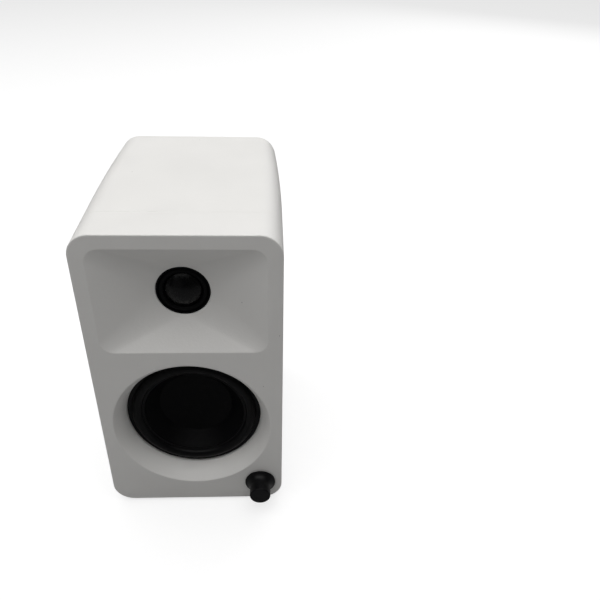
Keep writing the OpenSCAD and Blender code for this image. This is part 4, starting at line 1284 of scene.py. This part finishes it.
@dataclass
class Driver(Assembly):
    """A loudspeaker driver, whose pieces are turned about the axis of its cone or dome."""

    CENTRE: ClassVar[str] = ""
    LABEL: ClassVar[str] = ""

    def finish(self, look: str) -> Finish:
        """One finish of the palette; the turning marks of bare steel go round the driver's axis."""
        finish = super().finish(look)
        if look != "zinc":
            return finish
        across, up = self.datum.middle(self.CENTRE)
        x, _, z = self.datum.place(across, 0.0, up)
        return replace(finish, name=f"{finish.name}, {self.LABEL}", centre=(x, z))


@dataclass
class Woofer(Driver):
    """The bass driver: cone, hollow dust cap, half-roll surround, spider, coil, basket and motor."""

    CENTRE: ClassVar[str] = "woofer_cone"
    LABEL: ClassVar[str] = "woofer"
    LOOKS: ClassVar[dict[str, Sequence[str]]] = {
        "rubber": ("woofer_surround",), "cone": ("woofer_cone", "woofer_dust_cap"),
        "spider": ("woofer_spider",), "enamel": ("woofer_basket", "woofer_screws"),
        "zinc": ("woofer_top_plate", "woofer_yoke"), "ferrite": ("woofer_magnet",),
        "foam": ("woofer_gasket",), "phenolic": ("woofer_terminals",), "former": ("woofer_coil_former",),
        "copper": ("woofer_voice_coil", "woofer_tinsel_leads"),
    }

    edge_d: float = 12.9
    roll_r: float = 3.0
    roll_t: float = 0.6
    lip_r: float = 28.1
    rim_d: float = 12.5
    cone_r: float = 29.3
    cone_t: float = 0.8
    neck_r: float = 12.7
    belly: float = 0.5
    cap_t: float = 0.5
    lead_hold: float = 5.0
    frame_ease: float = 0.4
    small_ease: float = 0.12
    spider_waves: int = 6
    spider_t: float = 0.6

    def surround(self) -> Skin:
        """A rubber half roll between the cone's lip and the flat rim under the recess.

        The roll is two concentric half circles, and small arcs ease its feet and the rim's edge.

        Returns:
            The closed surround.
        """
        edge, step = self.edge_d, self.edge_d - self.roll_t
        rim_r, back = self.datum.half_width("woofer_surround"), self.datum.span("woofer_surround")[1]
        mid, turn = self.cone_r + self.roll_r, np.linspace(math.pi, 2 * math.pi, 41)
        outer = arc(mid, edge, self.roll_r, turn)
        bore = self.roll_r - self.roll_t
        front = outer[outer[:, 1] < step]
        lip = [[self.lip_r, edge - 0.2], [self.lip_r + 0.2, step], [front[0, 0] - 0.25, step + 0.04]]
        flat = [[mid + self.roll_r + 0.1, self.rim_d], [rim_r - 0.3, self.rim_d], [rim_r, self.rim_d + 0.3],
                [rim_r, back], [mid + bore, back]]
        return self.lathe("woofer_cone", [lip, front, flat, arc(mid, edge, bore, turn)[::-1],
                                          [[self.lip_r, edge]]], steps=180)

    def cone(self) -> Skin:
        """A paper cone whose wall bellies backwards by a parabola, 4 s (1 - s), of half a millimetre.

        Returns:
            The closed cone wall.
        """
        start, end = self.datum.span("woofer_cone")
        s = np.linspace(0, 1, 48)
        radius = self.cone_r - self.cone_t + s * (self.neck_r - self.cone_r + self.cone_t)
        depth = start + s * (end - start) + self.belly * 4 * s * (1 - s)
        front = np.stack([radius, np.minimum(depth, end)], axis=1)
        back = (front + [self.cone_t - 0.1, 0.0])[::-1]
        edge = [[self.cone_r - 0.1, start + self.cone_t], [self.cone_r, start + self.cone_t],
                [self.cone_r, start]]
        return self.lathe("woofer_cone", [front, back[:-3], edge], steps=180)

    def cap(self) -> Skin:
        """A hollow dust cap: a dish that rises from its middle as the square of the radius.

        Returns:
            The closed cap.
        """
        radius = self.datum.half_width("woofer_dust_cap")
        start, end = self.datum.span("woofer_dust_cap")
        s = np.linspace(0, 1, 40)
        dish = end - self.cap_t - (end - self.cap_t - start) * s**2
        front = np.stack([radius * s, dish], axis=1)
        back = np.stack([(radius - 0.3) * s, dish + self.cap_t], axis=1)[::-1]
        return self.lathe("woofer_cone", [front, back], closed=False)

    def spider(self) -> Skin:
        """A corrugated disc: its depth follows a cosine of the radius, six whole waves wide.

        Returns:
            The closed disc.
        """
        start, end = self.datum.span("woofer_spider")
        swing = (end - start - self.spider_t) / 2
        s = np.linspace(0, 1, 90)
        radius = self.neck_r + s * (self.datum.half_width("woofer_spider") - self.neck_r)
        depth = start + swing + swing * np.cos(2 * math.pi * self.spider_waves * s)
        front = np.stack([radius, depth], axis=1)
        return self.lathe("woofer_cone", [front, (front + [0.0, self.spider_t])[::-1]])

    def tinsel(self) -> None:
        """The two braided leads, from the terminals at one end to the cone at the other, as a rounded copy of
        the CAD node.
        """
        node = "woofer_tinsel_leads"
        piece = make_rounded(f"finished_{node}", node)
        BODY_OF[node]
        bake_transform(piece)
        self.claim(node, piece)

    def mesh(self) -> None:
        """Builds the driver's pieces."""
        self.tinsel()
        rim, spider_r = (self.datum.half_width(f"woofer_{ring}") for ring in ("surround", "spider"))
        self.add_moving_skin("woofer_surround", self.surround(), "woofer_moving_parts",
                             min(self.cone_r + 2 * self.roll_r, rim), self.cone_r)
        self.add_moving_skin("woofer_spider", self.spider(), "woofer_moving_parts", spider_r - 1,
                             self.neck_r + 0.5)
        self.add("woofer_cone", self.cone())
        self.add("woofer_dust_cap", self.cap())
        self.add_copies(self.frame_ease, ("woofer_basket", "woofer_top_plate", "woofer_magnet",
                                          "woofer_yoke"))
        self.add_copies(self.small_ease, ("woofer_gasket", "woofer_terminals", "woofer_screws",
                                          "woofer_coil_former", "woofer_voice_coil"))


@dataclass
class Tweeter(Driver):
    """The treble driver: silk dome and roll, nose plate and motor."""

    CENTRE: ClassVar[str] = "tweeter_dome"
    LABEL: ClassVar[str] = "tweeter"
    LOOKS: ClassVar[dict[str, Sequence[str]]] = {
        "silk": ("tweeter_dome",), "cone": ("tweeter_surround",), "dull": ("tweeter_plate",),
        "zinc": ("tweeter_top_plate", "tweeter_yoke"), "ferrite": ("tweeter_magnet",),
        "felt": ("tweeter_felt",), "phenolic": ("tweeter_terminals",), "enamel": ("tweeter_screws",),
        "copper": ("tweeter_voice_coil",),
    }

    silk_t: float = 0.3
    roll_r: float = 1.4
    ease: float = 0.15

    def dome(self) -> Skin:
        """A spherical cap of silk, two concentric arcs of one sphere's section.

        The sphere's radius is (r^2 + h^2) / 2h for a dome of radius r and height h.

        Returns:
            The closed dome.
        """
        apex, foot = self.datum.span("tweeter_dome")
        r, h = self.datum.half_width("tweeter_dome"), foot - apex
        ball = (r * r + h * h) / (2 * h)
        turn = np.linspace(0, math.asin(r / ball), 44)
        front = np.stack([ball * np.sin(turn), apex + ball * (1 - np.cos(turn))], axis=1)
        under = ball - self.silk_t
        rise = np.minimum(apex + self.silk_t + under * (1 - np.cos(turn)), foot)
        back = np.stack([under * np.sin(turn), rise], axis=1)
        return self.lathe("tweeter_dome", [front, back[::-1]], closed=False)

    def roll(self) -> Skin:
        """The silk half roll between the dome's foot and the narrow rim glued to the plate.

        Returns:
            The closed roll.
        """
        foot, silk = self.datum.span("tweeter_dome")[1], self.silk_t
        rim, mid = (self.datum.half_width("tweeter_surround"),
                    self.datum.half_width("tweeter_dome") + self.roll_r)
        turn = np.linspace(math.pi, 2 * math.pi, 29)
        outer, inner = (arc(mid, foot, r, turn) for r in (self.roll_r, self.roll_r - silk))
        flat = [[mid + self.roll_r + 0.1, foot - silk], [rim, foot - silk], [rim, foot]]
        return self.lathe("tweeter_dome", [outer[:-3], flat, inner[::-1]])

    def mesh(self) -> None:
        """Builds the driver's pieces."""
        self.add("tweeter_dome", self.dome())
        dome_r = self.datum.half_width("tweeter_dome")
        self.add_moving_skin("tweeter_surround", self.roll(), "tweeter_moving_parts",
                             dome_r + 2 * self.roll_r, dome_r)
        self.add_copies(self.ease, ("tweeter_plate", "tweeter_top_plate", "tweeter_magnet", "tweeter_yoke",
                                    "tweeter_felt", "tweeter_terminals", "tweeter_screws",
                                    "tweeter_voice_coil"))


@dataclass
class VolumeKnob(Assembly):
    """The volume knob and the push-and-turn control behind it."""

    LOOKS: ClassVar[dict[str, Sequence[str]]] = {
        "knob": ("volume_knob",), "brass": ("encoder_bush", "encoder_nut"), "black": ("encoder_body",),
        "nickel": ("encoder_washer", "encoder_shaft"), "board": ("encoder_board",),
        "white": ("encoder_actuator",),
    }

    stem_r: float = 6.0
    flare_start: float = -6.05
    rim_t: float = 0.6
    cavity_r: float = 5.6
    cavity_d: float = -3.9
    bevel: float = 0.7
    ease: float = 0.12

    def knob(self) -> Skin:
        """A round stem that flares to a wide skirt along an arc.

        The arc is a circle tangent to the stem, whose radius is (rise^2 + run^2) / 2 rise.

        Returns:
            The closed knob, with the cavity that clears the nut.
        """
        skirt = self.datum.half_width("volume_knob")
        tip, back = self.datum.span("volume_knob")
        rise, run = skirt - self.stem_r, back - self.rim_t - self.flare_start
        sweep = (rise * rise + run * run) / (2 * rise)
        turn = np.linspace(0, math.asin(run / sweep), 25)
        flare = np.stack([self.stem_r + sweep * (1 - np.cos(turn)), self.flare_start + sweep * np.sin(turn),
                          np.zeros(25)], axis=1)
        top = eased([(0, tip, 0), (self.stem_r, tip, self.bevel), (self.stem_r, self.flare_start, 0)],
                    closed=False)
        rim = eased([tuple(flare[-2]), (skirt, back - self.rim_t, 0.25), (skirt, back, 0.2),
                     (self.cavity_r, back, 0.2), (self.cavity_r, self.cavity_d, 0.1), (0, self.cavity_d, 0)],
                    closed=False, hold=0.05)
        return self.lathe("volume_knob", [top[:-1], flare[:-2], rim], closed=False)

    def mesh(self) -> None:
        """Builds the knob and the control."""
        self.add("volume_knob", self.knob(), crease=50.0)
        self.add_copies(self.ease, ("encoder_bush", "encoder_body", "encoder_washer", "encoder_nut",
                                    "encoder_board", "encoder_actuator", "encoder_shaft"))


@dataclass
class Amplifier(Assembly):
    """The rear plate with its sockets, terminal and switch, and the board behind it."""

    LOOKS: ClassVar[dict[str, Sequence[str]]] = {
        "panel": ("amp_plate",),
        "black": ("terminal_housing", "terminal_lever_black", "switch_case", "power_rocker", "aux_jack",
                  "dc_inlet"),
        "red": ("terminal_lever_red", "phono_ring_red"), "white": ("phono_ring_white", "phono_cores"),
        "enamel": ("amp_plate_screws",), "nickel": ("phono_shells",), "board": ("amp_board",),
        "brass": ("board_standoffs",), "sink": ("heatsink",), "sleeve": ("capacitors",),
        "copper": ("crossover_coil",), "lead": ("internal_leads",),
    }

    plate_flat: float = 1.0
    plate_ease: float = 0.35
    small_ease: float = 0.15
    socket_steps: int = 96
    shell_r: float = 4.15
    neck_r: float = 3.85
    core_r: float = 3.2
    pin_hole_r: float = 1.65
    pin_hole_len: float = 9.0

    def phono_sockets(self) -> None:
        """The two phono sockets: a stepped shell, a core with the pin's hole, and a coloured ring each."""
        rings = ("phono_ring_red", "phono_ring_white")
        (start, end), (core_start, core_end), (ring_start, ring_end) = (
            self.datum.span(node) for node in ("phono_shells", "phono_cores", rings[0]))
        neck, core_r, pin, ring_r = self.neck_r, self.core_r, self.pin_hole_r, self.datum.half_width(rings[0])
        shell = eased([(core_r, start, 0), (neck, start, 0.1), (neck, ring_end, 0.05),
                       (self.shell_r, ring_end, 0.08), (self.shell_r, end, 0.3), (core_r, end, 0.2)])
        core = eased([(0, core_start, 0), (core_r, core_start, 0.1), (core_r, core_end, 0.3),
                      (pin, core_end, 0.25), (pin, core_end - self.pin_hole_len, 0.1),
                      (0, core_end - self.pin_hole_len, 0)], closed=False)
        ring = eased([(neck, ring_start, 0), (ring_r, ring_start, 0.1), (ring_r, ring_end, 0.5),
                      (neck, ring_end, 0.1)])
        for node, profile, closed in (("phono_shells", shell, True), ("phono_cores", core, False)):
            self.add(node, Skin.joined([self.lathe(at, [profile], self.socket_steps, closed) for at in rings]))
        for node in rings:
            self.add(node, self.lathe(node, [ring], self.socket_steps))

    def mesh(self) -> None:
        """Builds the plate's pieces and the electronics."""
        self.add_copies(self.plate_ease, ("amp_plate", "terminal_housing", "terminal_lever_red",
                                          "terminal_lever_black", "switch_case", "power_rocker"),
                        self.plate_flat)
        self.phono_sockets()
        self.add_copies(self.small_ease, ("amp_plate_screws", "aux_jack", "dc_inlet", "amp_board",
                                          "board_standoffs", "heatsink", "capacitors"))
        for node in ("crossover_coil", "internal_leads"):
            self.keep(node, make_rounded(f"finished_{node}", node))


# --- Studio ---


@dataclass(frozen=True)
class Lamp:
    """A square light: where it stands in metres, its side in metres and its power in watts."""

    at: tuple[float, float, float]
    size: float
    power: float


@dataclass(frozen=True)
class Studio:
    """A pale floor, a broad soft light overhead, a weak fill, and the camera."""

    LAMPS: ClassVar[dict[str, Lamp]] = {
        "top_light": Lamp((-0.1, 0.0, 1.2), 1.8, 19.6),
        "fill_light": Lamp((-0.5, -1.0, 0.3), 0.8, 0.25),
        "rear_light": Lamp((0.7, 1.3, 0.7), 0.9, 4.0),
    }

    eye: tuple[float, float, float] = (0.04281, -0.33867, 0.31393)
    yaw: float = -3.337
    tilt: float = 36.16
    roll: float = 1.71
    lens: float = 39.54
    sensor: float = 36.0
    rise: float = 0.08
    nearest: float = 0.01
    floor_size: float = 12.0
    sky: float = 0.07
    floor_albedo: float = 0.4
    floor_rough: float = 0.9
    floor_lift: float = 0.72

    def floor(self) -> None:
        """A large pale floor under the feet."""
        half, low = self.floor_size / 2, CAD_BOX[0].z
        mesh = bpy.data.meshes.new("studio_floor")
        mesh.from_pydata([(-half, -half, low), (half, -half, low), (half, half, low), (-half, half, low)], [],
                         [(0, 1, 2, 3)])
        floor = bpy.data.objects.new("studio_floor", mesh)
        bpy.context.scene.collection.objects.link(floor)
        mesh.materials.append(StudioFloor("Studio floor", (self.floor_albedo,) * 3, self.floor_rough,
                                          lift=self.floor_lift).material())

    def light(self, name: str, row: Lamp) -> None:
        """A square area light that faces the speaker's middle."""
        data = bpy.data.lights.new(name, "AREA")
        data.shape, data.size, data.energy = "SQUARE", row.size, row.power
        lamp = bpy.data.objects.new(name, data)
        aim = (CAD_BOX[0] + CAD_BOX[1]) / 2
        lamp.location = row.at
        lamp.rotation_euler = (aim - lamp.location).to_track_quat("-Z", "Y").to_euler()
        bpy.context.scene.collection.objects.link(lamp)

    def camera(self) -> None:
        """The camera: turned by its roll, tilted up from straight down, then turned by its yaw."""
        data = bpy.data.cameras.new("camera")
        data.sensor_width, data.lens, data.shift_y = self.sensor, self.lens, self.rise
        data.clip_start = self.nearest
        camera = bpy.data.objects.new("camera", data)
        turns = [Matrix.Rotation(math.radians(a), 4, k) for a, k in
                 ((self.yaw, "Z"), (90 - self.tilt, "X"), (self.roll, "Z"))]
        camera.matrix_world = Matrix.Translation(self.eye) @ turns[0] @ turns[1] @ turns[2]
        bpy.context.scene.collection.objects.link(camera)
        bpy.context.scene.camera = camera

    def build(self) -> None:
        """Sets up the floor, the lights, a sky that only looks white to the camera, and the camera."""
        self.floor()
        for name, row in self.LAMPS.items():
            self.light(name, row)
        world = bpy.data.worlds.new("studio")
        world.use_nodes = True
        background = next(n for n in world.node_tree.nodes if n.type == "BACKGROUND")
        background.inputs["Color"].default_value = WHITE
        r = Recipe(world.node_tree)
        seen = r.add("ShaderNodeLightPath").outputs["Is Camera Ray"]
        r.feed(background.inputs["Strength"], r.maths("MAXIMUM", seen, self.sky))
        bpy.context.scene.world = world
        bpy.context.scene.view_settings.view_transform = "Standard"
        self.camera()
        LOG.info("studio: floor %.1f m, sky %.2f", self.floor_size, self.sky)


def main() -> None:
    """Builds each sub-assembly, then the studio."""
    logging.basicConfig(level=logging.INFO, format="%(name)s: %(message)s")
    datum, palette = Datum.from_frame(), Palette()
    for part in (Cabinet, Woofer, Tweeter, VolumeKnob, Amplifier):
        assembly = part(datum, palette)
        assembly.mesh()
        assembly.dress()
    Studio().build()
    bpy.context.view_layer.update()


if __name__ == "__main__":
    main()
